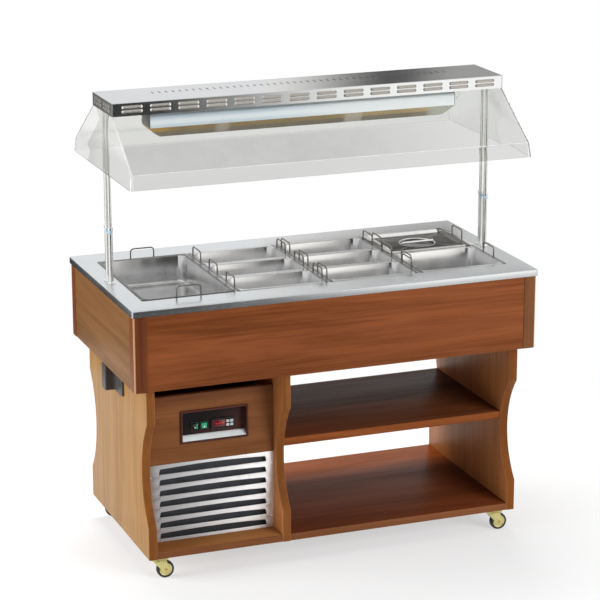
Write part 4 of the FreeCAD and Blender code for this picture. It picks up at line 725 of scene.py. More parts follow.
def base_pieces():
    """Three waisted panels, the bottom boards and the shelf."""
    outline = waisted_outline()
    for node in PANELS:
        low, high = box_mm(node)
        # The inner faces take the lit copy of the laminate: painted light.
        outside = FACE_TONE if node == "left_side_panel" else LIT_INNER_TONE
        beyond = FACE_TONE if node == "right_side_panel" else LIT_INNER_TONE
        faces = [("X", low[0] / 1000 + 0.0015, low[0] / 1000 + 0.0005, outside),
                 ("X", high[0] / 1000 - 0.0015, high[0] / 1000 - 0.0005, beyond)]
        edge = RIGHT_EDGE_TONE if node == "right_side_panel" else EDGE_TONE
        material = wood(node + "_tone", "z", edge, (0.6, 0.1, 0.9), faces)
        piece = Piece()
        slab(piece, outline, "x", low[0], high[0], 1.6)
        piece.build(node + "_wood", "counter", "wood_panel", material, [node], angle=30)
    left, partition, right = (box_mm(node) for node in PANELS)
    low, high = box_mm("bottom_boards")
    piece = Piece()
    board(piece, (left[1][0], low[1], low[2]), (partition[0][0], high[1], high[2]))
    board(piece, (partition[1][0], low[1], low[2]), (right[0][0], high[1], high[2]))
    piece.build("bottom_boards_wood", "counter", "wood_panel", WOOD_BOARD, ["bottom_boards"])
    piece = Piece()
    board(piece, *box_mm("mid_shelf"))
    piece.build("mid_shelf_wood", "counter", "wood_panel", WOOD_SHELF, ["mid_shelf"])


def casing_pieces():
    """Casing panels between round-edged corner posts."""
    low, high = box_mm("corner_posts")
    side, outer, thick = 45.0, 9.0, 20.0
    posts = Piece()
    for sx, sy in CORNERS:
        x, y = sx * high[0], sy * high[1]
        corners = [(x, y), (x - sx * side, y), (x - sx * side, y - sy * side), (x, y - sy * side)]
        radii = [outer, 1.5, 1.5, 1.5]
        if sx * sy < 0:
            corners, radii = corners[::-1], radii[::-1]
        slab(posts, rounded_polygon(corners, radii, 8), "z", low[2], high[2], 1.2)
    posts.build("corner_posts_wood", "counter", "wood_panel", WOOD_POST, ["corner_posts"])
    for node, facing, laminate in (("casing_long_panels", 1, WOOD_CASING),
                                   ("casing_end_panels", 0, WOOD_END)):
        low, high = box_mm(node)
        piece = Piece()
        for sign in (-1, 1):
            start, end = low.copy(), high.copy()
            start[facing], end[facing] = sorted((sign * high[facing], sign * (high[facing] - thick)))
            board(piece, start, end, 1.6)
        piece.build(node + "_wood", "counter", "wood_panel", laminate, [node])


# Worktop and cross bars


def split_ends(loop):
    """A rounded rectangle of 36 points with nine more points on each end, beside the holes for the posts."""
    place = np.linspace(-40, 40, 9)
    right = np.stack([np.full_like(place, loop[:, 0].max()), place], axis=-1)
    return np.concatenate([loop[:18], -right, loop[18:], right])


def holed_strip(piece, outer, inner, radius):
    """The flat sheet between two such loops: plain along front and back; at each end two cells, each
    joined to the circle of its hole along rays from the hole's middle, and one face on either side.
    Gives back the circles."""
    share = np.linspace(0, 1, 5)[:, None]
    circles = []
    for start in (0, 27):
        piece.grid(np.stack([outer[start:start + 18], inner[start:start + 18]]))
    for sx, rows, front, back in ((-1, slice(26, 17, -1), 27, 17), (1, slice(45, 54), 44, 0)):
        out, within = outer[rows], inner[rows]
        for sy, part in ((-1, slice(0, 5)), (1, slice(4, 9))):
            near, far = out[part], within[part]
            across = [near[-1] + share * (far[-1] - near[-1]), far[0] + share * (near[0] - far[0])]
            edge = np.concatenate([near, across[0][1:-1], far[::-1], across[1][1:-1]])
            centre = np.array([sx * POST_X, sy * POST_Y, outer[0, 2]])
            circles.append(centre + radius * unit(edge - centre))
            piece.grid(np.stack([edge, circles[-1]]), wrap_columns=True)
        for row, corner in ((0, front), (-1, back)):
            side = out[row] + share * (within[row] - out[row])
            piece.face(np.concatenate([side, inner[[corner]], outer[[corner]]]))
    return circles


def worktop_pieces():
    """A sheet lofted from its rim over the fold and across to the well's edge, with holes for the posts;
    bars between the columns."""
    low, high = box_mm("worktop")
    x, y, top = high
    turn, bend = np.linspace(0, np.pi / 2, 6), 3.0
    draws, drops = bend * (1 - np.cos(turn)), bend * (1 - np.sin(turn))
    fold = [(x - draw, y - draw, 6.0, top - drop) for draw, drop in zip(draws, drops)]
    rings = [(x - 1.5, y - 1.5, 4.5, top - 2.0), (x - 1.5, y - 1.5, 4.5, low[2]), (x, y, 6.0, low[2]),
             *fold, (660.0, 269.0, 14.0, top), (647.5, 256.5, 12.0, top), (646.2, 255.2, 12.0, top - 1.3),
             (646.2, 255.2, 12.0, top - 6.0), (648.0, 257.0, 12.0, top - 6.0),
             (648.0, 257.0, 12.0, top - 2.0)]
    piece = Piece()
    loops = np.stack([split_ends(rounded_loop(*ring[:3], 8)) for ring in rings])
    sheet = stand(loops, [ring[3] for ring in rings], "z")
    flat = 2 + len(fold)
    piece.grid(sheet[:flat + 1], wrap_columns=True)
    piece.grid(sheet[flat + 1:], wrap_columns=True)
    above = holed_strip(piece, sheet[flat], sheet[flat + 1], POST_HOLE)
    below = holed_strip(piece, sheet[0], sheet[-1], POST_HOLE)
    for circles in zip(above, below):
        piece.grid(np.stack(circles), wrap_columns=True)
    piece.build("worktop_sheet", "counter", "worktop_steel", SATIN, ["worktop"])
    low, high = box_mm("pan_crossbars")
    piece = Piece()
    for number in range(3):
        middle, half = (number - 1) * COLUMN_PITCH, 12
        board(piece, (middle - half, low[1], low[2]), (middle + half, high[1], high[2]), 1.5)
    piece.build("pan_crossbars_steel", "counter", "worktop_steel", SATIN, ["pan_crossbars"])


# Pans, handles and lid

TOP = box_mm("worktop")[1][2]
FLANGE_TOP = TOP + SHEET
PANS = [name for name in frame["nodes"] if name.startswith("pan_") and name[4].isdigit()]


def handle_path(span=84.0, height=35.5, radius=12.0):
    """A loop in its own plane: two legs, two quarter circles and a bar, as across and up."""
    turn = np.linspace(0, np.pi / 2, 7)
    half = span / 2
    left = np.stack([radius - half - radius * np.cos(turn), height - radius + radius * np.sin(turn)],
                    axis=-1)
    leg = np.array([[-half, -0.6], [-half, 5.0]])
    side = np.concatenate([leg, left])
    return np.concatenate([side, side[::-1] * (-1, 1)])


def handles(piece, low, high):
    """Two loops on a pan's flange: at front and back of a deep pan, else at its left and right."""
    middle, half = (low + high) / 2, (high - low) / 2
    loop, thick, inset = handle_path(), 2.5, 6.25
    along, facing = (0, 1) if half[1] > half[0] else (1, 0)
    for end in (-1, 1):
        path = np.empty((len(loop), 3))
        path[:, along] = middle[along] + loop[:, 0]
        path[:, facing] = middle[facing] + end * (half[facing] - inset)
        path[:, 2] = FLANGE_TOP + loop[:, 1]
        wire(piece, path, thick, np.eye(3)[facing])


def pan_rings(x, y, floor):
    """One closed sheet: out from the bottom, up, over the flange, down inside and back to the bottom. Along
    a bend the tub's rings are drawn in, and move up or down, by the two sides of a quarter circle."""
    flange_width, corner, bottom_bend, rim_bend = 12.5, 30.0, 15.0, 3.0
    tub_x, tub_y = x - flange_width, y - flange_width
    turn = np.linspace(0, np.pi / 2, 6)
    draw, rise = 1 - np.sin(turn), 1 - np.cos(turn)

    def tub(insets, heights):
        """The tub's outline drawn in by each inset."""
        return [(tub_x - inset, tub_y - inset, corner - inset, z) for inset, z in zip(insets, heights)]

    inner_bend = bottom_bend - SHEET
    outside = tub(bottom_bend * draw, floor + bottom_bend * rise)
    flange = [(tub_x, tub_y, corner, TOP), (x - 0.5, y - 0.5, 6, TOP), (x, y, 6.4, TOP + 0.35),
              (x, y, 6.4, FLANGE_TOP - 0.35), (x - 0.5, y - 0.5, 6, FLANGE_TOP)]
    rim = tub(SHEET - rim_bend * draw[:-1], FLANGE_TOP - rim_bend * rise[:-1])
    inside = tub(SHEET + inner_bend * draw[::-1], floor + SHEET + inner_bend * rise[::-1])
    return [*outside, *flange, *rim, *inside]


def pan_pieces():
    """Each pan's sheet and its two handles."""
    for node in PANS:
        low, high = box_mm(node)
        middle, half = ((low + high) / 2)[:2], ((high - low) / 2)[:2]
        piece = Piece()
        loft(piece, middle, pan_rings(*half, low[2]), steps=7)
        steel_used = RIM_STEEL if node == "pan_1_full" else PAN_STEEL
        piece.build(node + "_sheet", node, "pan_steel", steel_used, [node])
        piece = Piece()
        handles(piece, low, high)
        piece.build(node + "_handles", node, "pan_steel", WIRE_STEEL)


def lid_piece():
    """A notched plate with a raised edge, a sunk flat and a round dish: rings from the middle of its
    underside out to the edge and back to the middle of its top; a mirror flat round the dish; a grip bar
    across it."""
    low, high = box_mm("pan_lid")
    middle = ((low + high) / 2)[:2]
    x, y = ((high - low) / 2)[:2]
    notch, reach = 9.05, 47.0
    corners = [(x, -y), (x, -reach), (x - notch, -reach), (x - notch, reach), (x, reach), (x, y),
               (-x, y), (-x, reach), (notch - x, reach), (notch - x, -reach), (-x, -reach), (-x, -y)]
    radii = [6, 2, 3, 3, 2, 6, 6, 2, 3, 3, 2, 6]
    corners = np.array(corners, float)
    places = fill_places(rounded_polygon(corners, radii, 5), 6.0)

    def edge(inset):
        """The plate's outline drawn in."""
        return filled(rounded_polygon(corners + inset * inward(corners), radii, 5), places)

    angle = np.arctan2(edge(0)[:, 1], edge(0)[:, 0])
    round_edge = np.stack([np.cos(angle), np.sin(angle)], axis=-1)
    plate = FLANGE_TOP
    under = [(0.01, -22.6), (58.0, -22.6), (61.4, -20.0), (62.2, -7.2)]
    rim = [(24.0, -7.2), (22.6, -6.6), (16.4, -0.6), (15.0, 0.0), (1.0, 0.0), (0.0, 0.6),
           (0.0, 2.4), (0.6, 3.0), (13.0, 3.0), (14.6, 2.6), (22.4, -5.2), (24.0, -6.0)]
    dish = [(64.0, -6.0), (62.2, -6.3), (61.0, -7.6), (60.2, -19.0), (57.0, -21.4), (0.01, -21.4)]
    loops = [radius * round_edge for radius, rise in under] + [edge(inset) for inset, rise in rim]
    loops += [radius * round_edge for radius, rise in dish]
    runs = [plate + ring[1] for ring in under + rim + dish]
    piece = Piece()
    piece.tube(stand(np.stack(loops) + middle, runs, "z"))
    grip = np.linspace(-61.0, 61.0, 25)
    path = np.stack([middle[0] + grip, np.full_like(grip, middle[1]), plate - 3.3 + 0 * grip], axis=-1)
    wire(piece, path, 4.5, (0, 1, 0), 14)
    piece.build("pan_lid_sheet", "lid", "pan_steel", LID_STEEL, ["pan_lid"])
    flat = Piece()
    loops = [edge(24.2), edge(24.5), 66.0 * round_edge, 65.7 * round_edge]
    flat.grid(stand(np.stack(loops) + middle, plate + np.array([-6.1, -5.8, -5.8, -6.1]), "z"), True, True)
    flat.build("pan_lid_flat", "lid", "pan_steel", LID_FLAT)


# Gantry: pressed louvres on the shelf, hood, lamp


def louvre(length, height, proud):
    """One pressed louvre about zero: from the flush upper edge it swells to its lower lip and turns back
    there; both ends close on an ellipse."""
    run = np.linspace(-1, 1, 23)
    part = np.linspace(0, 1, 11)
    straight = length / 2 - height
    round_end = straight + height * np.sin(((np.abs(run) - 0.6) / 0.4).clip(0) * np.pi / 2)
    along = np.sign(run) * np.where(np.abs(run) > 0.6, round_end, straight * np.abs(run) / 0.6)
    close = np.sqrt(np.clip(1 - ((np.abs(along) - straight) / height).clip(0) ** 2, 0, 1))
    lip = 0.85
    rising = np.sin((part / lip).clip(0, 1) * np.pi / 2) ** 1.3
    swell = np.where(part < lip, rising, np.cos((part - lip) / (1 - lip) * np.pi / 2))
    across = height * (1 - 2 * part)[None, :] * close[:, None]
    out = proud * swell[None, :] * close[:, None]
    return np.broadcast_to(along[:, None], across.shape), across, out


def shelf_louvres():
    """Two rows of louvres along the front and back of the shelf, and two pairs at each end."""
    low, high = box_mm("gantry_shelf")
    along, across, out = louvre(72.0, 5.8, 3.0)
    middle = (low[2] + high[2]) / 2
    piece = Piece()
    for z in (middle - 7, middle + 7):
        for number in range(14):
            x = (number - 6.5) * LOUVRE_PITCH
            for sign in (-1, 1):
                piece.grid(np.stack([x + along, sign * (high[1] + out - 0.1), z + across], axis=-1))
        for y in (-50, 50):
            for sign in (-1, 1):
                piece.grid(np.stack([sign * (high[0] + out - 0.1), y + along, z + across], axis=-1))
    piece.build("shelf_louvres", "gantry", "bright_steel", LOUVRE_STEEL)


def hood_rings(inset):
    """The hood from its collar to its lip as half length, half depth, corner radius and height; a ring close
    to each end of the slope keeps the shading between them flat."""
    fold, rise = 10.0, 5.6
    return [(697.3 - inset, 112.8 - inset, 4.0, 1554.0), (697.3 - inset, 112.8 - inset, 4.0, 1541.0),
            (697.6 - inset, 116.0 - inset * 1.6, 4.0, 1538.0),
            (697.7 - inset, 121.0 - inset * 1.6, 4.0, 1534.5),
            (701.6 - inset, 312.0 - inset * 1.6, 5.0, 1400.1),
            (701.7 - inset, 327.0 - fold - inset * 1.6, 5.0, 1390.0 + rise + 1.0),
            (702.0 - inset, 327.0 - fold * 0.35 - inset * 1.4, 5.0, 1390.0 + rise * 0.2),
            (702.4 - inset, 327.3 - inset, 5.0, 1390.0 - 4.0), (707.6 - inset, 332.6 - inset, 5.0, 1341.6)]


def hood_piece():
    """A clear sheet: rounded rectangles from the collar over the fold to the lip, outside, then inside."""
    outside, inside = hood_rings(0.0), hood_rings(3.0)
    rings = [*outside, (706.4, 331.4, 5.0, 1341.0), (705.8, 330.8, 5.0, 1341.0), *inside[::-1]]
    piece = Piece()
    piece.grid(ring_stack(rings, steps=4), wrap_rows=True, wrap_columns=True)
    piece.build("hood_sheet", "gantry", "clear_sheet", CLEAR, ["hood"], angle=30)


def hood_folds():
    """Painted highlights: fine white lines for the light caught where the clear sheet is folded, along its
    long folds and down the corners, where those on the right stand just off the sheet."""
    top, fold, lip = (697.5, 114.5, 1539.0), (702.0, 327.0, 1390.5), (707.4, 332.4, 1342.0)
    piece = Piece()
    for sign in (-1, 1):
        thin = 1.0 if sign < 0 else 0.3
        lines = [((-fold[0], sign * fold[1], fold[2]), (fold[0], sign * fold[1], fold[2]), 0.6 * thin)]
        for sx in (-1, 1):
            inwards, out = (2.3, 2.6) if sx > 0 else (0.0, 0.0)
            places = [np.array([sx * x - inwards, sign * (y + out), z]) for x, y, z in (top, fold, lip)]
            sizes = (1.8, 1.8) if sx > 0 else (0.6 * thin, 1.3 * thin)
            lines += [(places[0], places[1], sizes[0]), (places[1], places[2], sizes[1])]
        for start, end, radius in lines:
            path = np.linspace(start, end, 9)
            normal = unit(np.cross(path[-1] - path[0], (1.0, 0.31, 0.17)))
            wire(piece, path, radius, normal, 8)
    piece.build("hood_folds", "gantry", "clear_sheet", FOLD_WHITE)


def lamp_pieces():
    """Housing: a rounded section with a groove along its back, carried along X; end caps; skirt: rings
    drawn in downwards, the ends along a curve that steepens."""
    low, high = box_mm("lamp_housing")
    top, bottom = 1526.0, low[2]
    x, y = high[0], high[1]
    corners = [(-y, bottom), (y - 10, bottom), (y, bottom + 8), (y, bottom + 16), (y - 7, bottom + 21),
               (y, bottom + 27), (y, top), (-y, top)]
    radii = [1.5, 5.0, 4.0, 3.0, 3.0, 4.0, 14.0, 16.0]
    section = rounded_polygon(corners, radii, 8)
    cap = 2.0
    piece = Piece()
    slab(piece, section, "x", cap - x, x - cap, 0.4)
    for number in (-1, 0, 1):
        middle = number * 367.3
        board(piece, (middle - 20, -y / 2, top - 1), (middle + 20, y / 2, high[2]), 1.0)
    piece.build("lamp_housing_shell", "gantry", "lamp_white", LAMP_WHITE, ["lamp_housing"])
    caps = Piece()
    for sign in (-1, 1):
        slab(caps, section, "x", *sorted((sign * (x - cap), sign * x)), 0.8)
    caps.build("lamp_end_caps", "gantry", "lamp_white", CAP_GREY)
    low, high = box_mm("lamp_reflector")
    x, y = high[0] - 0.4, high[1] - 0.4
    down = np.linspace(0, 1, 9)
    end_draft, side_draft, drop = 39.0, 19.0, bottom - low[2]
    outside = [(x - end_draft * t ** 1.5, y - side_draft * t, 3.0, bottom - drop * t) for t in down]
    inside = [(ring[0] - SHEET, ring[1] - SHEET, 2.4, ring[3]) for ring in outside[::-1]]
    rings = [(x, y, 3.0, bottom + 4), *outside, *inside, (x - SHEET, y - SHEET, 2.4, bottom + 4)]
    piece = Piece()
    piece.grid(ring_stack(rings, steps=4), wrap_rows=True, wrap_columns=True)
    piece.build("lamp_reflector_skirt", "gantry", "reflector_gold", GOLD, ["lamp_reflector"])


# Telescopic posts


def post_pieces():
    """Turned tubes: outer ones with a foot collar, a ring and a band; inner ones up to the shelf."""
    outer, inner, bands = Piece(), Piece(), Piece()
    inner_low, inner_high = box_mm("post_inner_tubes")
    foot, joint = box_mm("post_outer_tubes")[0][2], box_mm("post_outer_tubes")[1][2]
    for sx, sy in CORNERS:
        centre = (sx * POST_X, sy * POST_Y)
        profile = [(6.8, foot), (8.25, foot), (8.25, TOP + 0.1), (13.4, TOP + 0.1), (14, TOP + 0.7),
                   (14, TOP + 3.6), (12.6, TOP + 5), (8.25, TOP + 5.2), (8.25, joint - 9.0),
                   (9.4, joint - 8.8), (10, joint - 8.2), (10, joint - 0.8), (9.2, joint), (6.8, joint)]
        lathe(outer, profile, centre, sides=28, closed=True)
        band = [(8.27, joint - 21), (8.6, joint - 20.6), (8.6, joint - 10.4), (8.27, joint - 10)]
        lathe(bands, band, centre, sides=28, closed=True)
        tube = [(5.55, inner_low[2]), (6.75, inner_low[2]), (6.75, inner_high[2]), (5.55, inner_high[2])]
        lathe(inner, tube, centre, sides=24, closed=True)
    outer.build("post_outer_tubes_turned", "counter", "bright_steel", POST_STEEL, ["post_outer_tubes"])
    bands.build("post_bands", "counter", "bright_steel", BAND)
    inner.build("post_inner_tubes_turned", "gantry", "bright_steel", POST_STEEL, ["post_inner_tubes"])


# Technical compartment


def grille_piece():
    """A sheet with louvres: two strips to each louvre, one below its straight lower edge and one above its
    arch. The opening's height is a flat arch along X, closed by round ends; the lower strip ends in a
    rolled lip. Screws hold the sheet, and a dark sheet behind it stands in for the shade inside."""
    low, high = box_mm("louvre_grille")
    middle = (low[2] + high[2]) / 2
    face, left, right = low[1], low[0] + 38, high[0] - 27
    span, count = right - left, 7
    pitch = (high[2] - low[2] - 7) / count
    tall = 0.61 * pitch
    along = left + span * (1 - np.cos(np.pi * np.linspace(0, 1, 61))) / 2
    across = np.concatenate([[low[0]], along, [high[0]]])
    run = ((across - left) / span).clip(0, 1)
    near = np.minimum(run, 1 - run) * span
    end = np.sqrt(np.clip(1 - (1 - near / 5.0).clip(0) ** 2, 0, 1))
    opening = tall * (0.76 + 0.24 * np.sin(np.pi * run)) * end
    part = np.linspace(0, 1, 21)
    roll = 0.62
    rolled = 3.6 * np.sin(np.pi * ((part - roll) / (1 - roll)).clip(0))
    lip = np.where(part > roll, rolled, 0.7 * np.sin(np.pi * part / roll))
    shape = (opening / tall)[:, None] ** 0.5
    piece = Piece()
    for number in range(count):
        sill = middle - 11.5 + (number - (count - 1) / 2) * pitch
        under = sill - (pitch - tall) if number else low[2]
        over = sill + tall if number < count - 1 else high[2]
        z = under + (sill - under) * part[None, :] + 0 * across[:, None]
        y = face - lip[None, :] * shape
        piece.grid(np.stack([across[:, None] + 0 * z, y, z], axis=-1))
        top = sill + opening
        z = top[:, None] + (over - top)[:, None] * part[None, :]
        y = face + 2.5 * (1 - part[None, :]) ** 4 * shape
        piece.grid(np.stack([across[:, None] + 0 * z, y, z], axis=-1))
    item = piece.build("louvre_grille_sheet", "counter", "bright_steel", GRILLE_STEEL, ["louvre_grille"],
                       angle=50)
    thick = item.modifiers.new("sheet", "SOLIDIFY")
    thick.thickness, thick.offset = SHEET / 1000, 0.0
    heads = Piece()
    screw = [(0.01, face - 2.4), (2.0, face - 2.3), (3.4, face - 1.5), (4.0, face), (2.0, face + 8),
             (0.01, face + 12)]
    for x in (low[0] + 8, high[0] - 8):
        for z in (low[2] + 42, high[2] - 42):
            lathe(heads, screw, (x, z), "y", 16)
    heads.build("grille_screw_heads", "counter", "bright_steel", GRILLE_STEEL, ["grille_screws"])
    mesh = Piece()
    # A dark sheet behind the slots stands in for the shade inside the compartment.
    board(mesh, (left - 12, face + 15, low[2] + 6), (right + 12, face + 18, high[2] - 6), 1.0)
    mesh.build("grille_filter", "counter", "dark_plastic", DARK_SHADE_SHEET)


def unit_front_piece():
    """The wooden front as a loft from its outer edge to the bezel's cut-out, front and back."""
    low, high = box_mm("unit_front_panel")
    bezel_low, bezel_high = box_mm("control_bezel")
    half, hole = ((high - low) / 2)[[0, 2]], ((bezel_high - bezel_low) / 2)[[0, 2]] - 4
    outer = rounded_loop(*half, 1.0, 3) + (low + high)[[0, 2]] / 2
    inner = rounded_loop(*hole, 2.0, 3) + (bezel_low + bezel_high)[[0, 2]] / 2
    mitre = inward(outer)
    loops = [outer + mitre, outer, outer, outer + mitre, inner, inner]
    runs = [low[1], low[1] + 1, high[1] - 1, high[1], high[1], low[1]]
    piece = Piece()
    piece.grid(stand(np.stack(loops), runs, "y"), wrap_rows=True, wrap_columns=True)
    piece.build("unit_front_wood", "counter", "wood_panel", WOOD_FRONT, ["unit_front_panel"])


def bezel_pieces():
    """The bezel as rings from its back edge over its rim and down its recess; the bare strip as a slanted
    plate that runs from the recess floor to just behind the lower rim."""
    low, high = box_mm("control_bezel")
    centre = ((low + high) / 2)[[0, 2]]
    x, z = ((high - low) / 2)[[0, 2]]
    front, floor = low[1], high[1] - RECESS_FLOOR
    steps = [(4.5, 3, high[1]), (4.5, 3, front + 6), (0, 5, front + 6), (0, 5, front + 1.6),
             (0.5, 4.6, front + 0.5), (1.6, 4, front), (5.6, 3.2, front), (6.6, 3, front + 0.5),
             (7.0, 3, front + 1.5), (7.6, 3, floor - 0.8), (8.4, 2.4, floor)]
    rings = [(x - inset, z - inset, radius, run) for inset, radius, run in steps]
    piece = Piece()
    loft(piece, centre, rings, "y", 5)
    piece.build("control_bezel_moulding", "counter", "bezel_brown", MAROON, ["control_bezel"])
    strip = Piece()
    corners = [(front + 3.0, centre[1] - 49.6), (floor - 7.0, centre[1] - 36.5), (floor, centre[1] - 36.0),
               (floor, centre[1] - 49.9), (front + 3.0, centre[1] - 49.9)]
    outline = rounded_polygon(corners, [0.1, 1.0, 0.4, 0.1, 0.1], 3)
    slab(strip, outline, "x", centre[0] - x + 7.8, centre[0] + x - 7.8, 0.3)
    strip.build("control_strip", "counter", "bright_steel", STRIP)


def switch_pieces():
    """Frames: rings round a mouth; rockers: a hollowed profile tilted and carried along X; lenses on them."""
    lip = box_mm("switch_frames")[0][1]
    floor = box_mm("control_bezel")[1][1] - RECESS_FLOOR
    frames = Piece()
    for node in ("main_rocker", "lamp_rocker"):
        joint = [j for j in frame["joints"] if j["child"] == node][0]
        pivot = np.array(joint["pos_m"]) * 1000
        centre = pivot[[0, 2]]
        steps = [(15, 2, floor), (15, 2, lip + 0.8), (14.2, 1.6, lip), (12, 1.2, lip),
                 (11.2, 1.0, lip + 0.6), (11, 1.0, lip + 12)]
        loft(frames, centre, [(half, half, radius, run) for half, radius, run in steps], "y", 4)
        tip, back, half, side = -7.5, 4.5, 9.3, 10.1
        face = np.linspace(-1, 1, 17)
        front = np.stack([tip + 2.4 * (1 - np.abs(face) ** 1.5), face * half], axis=-1)
        profile = np.concatenate([front, [[back, half], [back, -half]]])[::-1]
        lean = math.radians(8)
        y = profile[:, 0] * math.cos(lean) - profile[:, 1] * math.sin(lean)
        z = profile[:, 0] * math.sin(lean) + profile[:, 1] * math.cos(lean)
        outline = np.stack([pivot[1] + y, pivot[2] + z], axis=-1)
        seam = 3.5 if node == "main_rocker" else -side
        green = Piece()
        slab(green, outline, "x", pivot[0] + seam, pivot[0] + side, 0.5)
        if node == "main_rocker":
            black = Piece()
            slab(black, outline, "x", pivot[0] - side, pivot[0] + seam, 0.5)
            black.build("main_rocker_moulding", node, "black_gloss", BLACK, [node])
            green.build("main_rocker_light", node, "switch_green", GREEN)
        else:
            green.build("lamp_rocker_moulding", node, "switch_green", GREEN, [node])
        lens = Piece()
        spot_y = pivot[1] + (tip + 1.6) * math.cos(lean) + 4.6 * math.sin(lean)
        spot_z = pivot[2] + (tip + 1.6) * math.sin(lean) - 4.6 * math.cos(lean)
        turn = np.linspace(0, np.pi / 2, 6)
        profile = np.stack([np.maximum(2.6 * np.sin(turn), 0.01), spot_y - 0.9 * np.cos(turn)], axis=-1)
        lathe(lens, np.concatenate([profile, [[2.6, spot_y + 1.2]]]), (pivot[0], spot_z), "y", 20)
        lens.build(node + "_lens", node, "key_grey", LENS)
    frames.build("switch_frames_moulding", "counter", "black_gloss", BLACK, ["switch_frames"])


def thermostat_pieces():
    """A body of rings with a shallow rim; a window with bars in it; four keys."""
    low, high = box_mm("thermostat")
    centre = ((low + high) / 2)[[0, 2]]
    floor = box_mm("control_bezel")[1][1] - RECESS_FLOOR
    front = low[1]
    rings = [(42, 19, 2.5, floor + 0.5), (42, 19, 2.5, front + 1.2), (41.6, 18.6, 2.3, front + 0.4),
             (40.8, 17.8, 2, front), (39.2, 16.2, 1.6, front), (38.6, 15.6, 1.4, front + 0.6)]
    piece = Piece()
    loft(piece, centre, rings, "y", 5)
    piece.build("thermostat_case", "counter", "black_gloss", BLACK, ["thermostat"])
    window = Piece()
    glass = (centre[0] - 12.5, centre[1] + 1.0)
    rings = [(21, 11.5, 1.2, front + 1.2), (21, 11.5, 1.2, front + 0.3), (20.4, 10.9, 1.0, front - 0.1)]
    loft(window, glass, rings, "y", 4)
    window.build("thermostat_window", "counter", "black_gloss", DISPLAY)
    bars = Piece()
    for number in (-1, 0, 1):
        x = glass[0] + number * 11
        board(bars, (x - 3.4, front - 0.3, glass[1] - 0.9), (x + 3.4, front + 0.2, glass[1] + 0.9), 0.2)
    bars.build("thermostat_bars", "counter", "black_gloss", LIT)
    for node in ("key_set", "key_up", "key_mode", "key_down"):
        key_low, key_high = box_mm(node)
        middle = ((key_low + key_high) / 2)[[0, 2]]
        x, z = ((key_high - key_low) / 2)[[0, 2]]
        face = key_low[1]
        rings = [(x, z, 1.5, key_high[1]), (x, z, 1.5, face + 0.9), (x - 0.3, z - 0.3, 1.4, face + 0.3),
                 (x - 1.0, z - 1.0, 1.1, face), (x - 2.2, z - 2.2, 0.8, face + 0.25)]
        key = Piece()
        loft(key, middle, rings, "y", 4)
        key.build(node + "_cap", node, "key_grey", KEY, [node])


def bracket_piece():
    """A plate with a lug: two outlines seen from above, the lug's with a hollow flare, carried upwards."""
    low, high = box_mm("side_bracket")
    x_in, x_out = high[0], low[0]
    piece = Piece()
    corners = [(x_in, low[1]), (x_in, high[1]), (x_in - 8, high[1]), (x_in - 8, low[1])]
    plate = rounded_polygon(corners, [0.6, 0.6, 4, 4], 4)
    slab(piece, plate, "z", low[2], high[2], 2.0)
    corners = [(x_in - 4, -64), (x_in - 4, 26), (x_in - 8.5, 26), (x_in - 8.5, 10), (x_out, 10),
               (x_out, -36), (x_in - 8.5, -36), (x_in - 8.5, -64)]
    lug = rounded_polygon(corners, [0.6, 0.6, 0.6, 14, 3, 4, 20, 0.6], 6)
    slab(piece, lug, "z", low[2] + 12, high[2], 2.0)
    piece.build("side_bracket_moulding", "counter", "dark_plastic", CHARCOAL, ["side_bracket"])


# Casters


def caster_plate(piece, x, y):
    """A plate with its turned race, its pin and four bolt heads."""
    slab(piece, rounded_loop(31, 31, 6, 5) + (x, y), "z", 75.0, 78.0, 0.6)
    race = [(0.01, 75.2), (21, 75.2), (21, 73), (20, 70.5), (17, 69.1), (0.01, 69.05)]
    lathe(piece, race, (x, y), sides=36)
    pin = [(5, 69.2), (5, 61.6), (8.5, 61.6), (8.5, 60.6), (6.5, 59.4), (0.01, 59.3)]
    lathe(piece, pin, (x, y), sides=24)
    bolt, spread = [(4.4, 75.1), (4.4, 73.2), (3.2, 71.8), (0.01, 71.4)], 24.5
    for sx, sy in CORNERS:
        lathe(piece, bolt, (x + sx * spread, y + sy * spread), sides=6)


def caster_fork(piece, x, y, axle_x):
    """A turned race, a crown and two slanting cheeks."""
    race = [(5.05, 68.65), (19, 68.65), (20.6, 67.6), (21, 66), (20.2, 65.9), (5.05, 65.9)]
    lathe(piece, race, (x, y), sides=36, closed=True)
    back, front, inner, outer = x - 20, x + 27, 13.0, 16.0
    corners = [(back, y - outer), (front, y - outer), (front, y + outer), (back, y + outer)]
    slab(piece, rounded_polygon(corners, [12, 5, 5, 12], 6), "z", 62.0, 66.0, 1.2)
    corners = [(back, 64.5), (axle_x - 9.5, 24.5), (axle_x + 9.5, 22.5), (front, 64.5)]
    cheek = rounded_polygon(corners, [3, 8, 8.5, 3], 8)
    for sign in (-1, 1):
        slab(piece, cheek, "y", *sorted((y + sign * inner, y + sign * outer)), 0.7)


def caster_axle(piece, y, centre):
    """A turned axle with a six-sided nut at each end."""
    angle = np.linspace(0, 2 * np.pi, 6, endpoint=False)
    nut = centre + 6.4 * np.stack([np.cos(angle), np.sin(angle)], axis=-1)
    end = [(0.01, 21.0), (3.9, 20.6), (4.0, 18.4), (4.0, 13.0), (0.01, 13.0)]
    for sign in (-1, 1):
        lathe(piece, [(radius, y + sign * run) for radius, run in end], centre, "y", 16)
        slab(piece, nut, "y", *sorted((y + sign * 16.0, y + sign * 19.4)), 0.6)
    lathe(piece, [(4.0, y - 13.1), (4.0, y + 13.1)], centre, "y", 20)


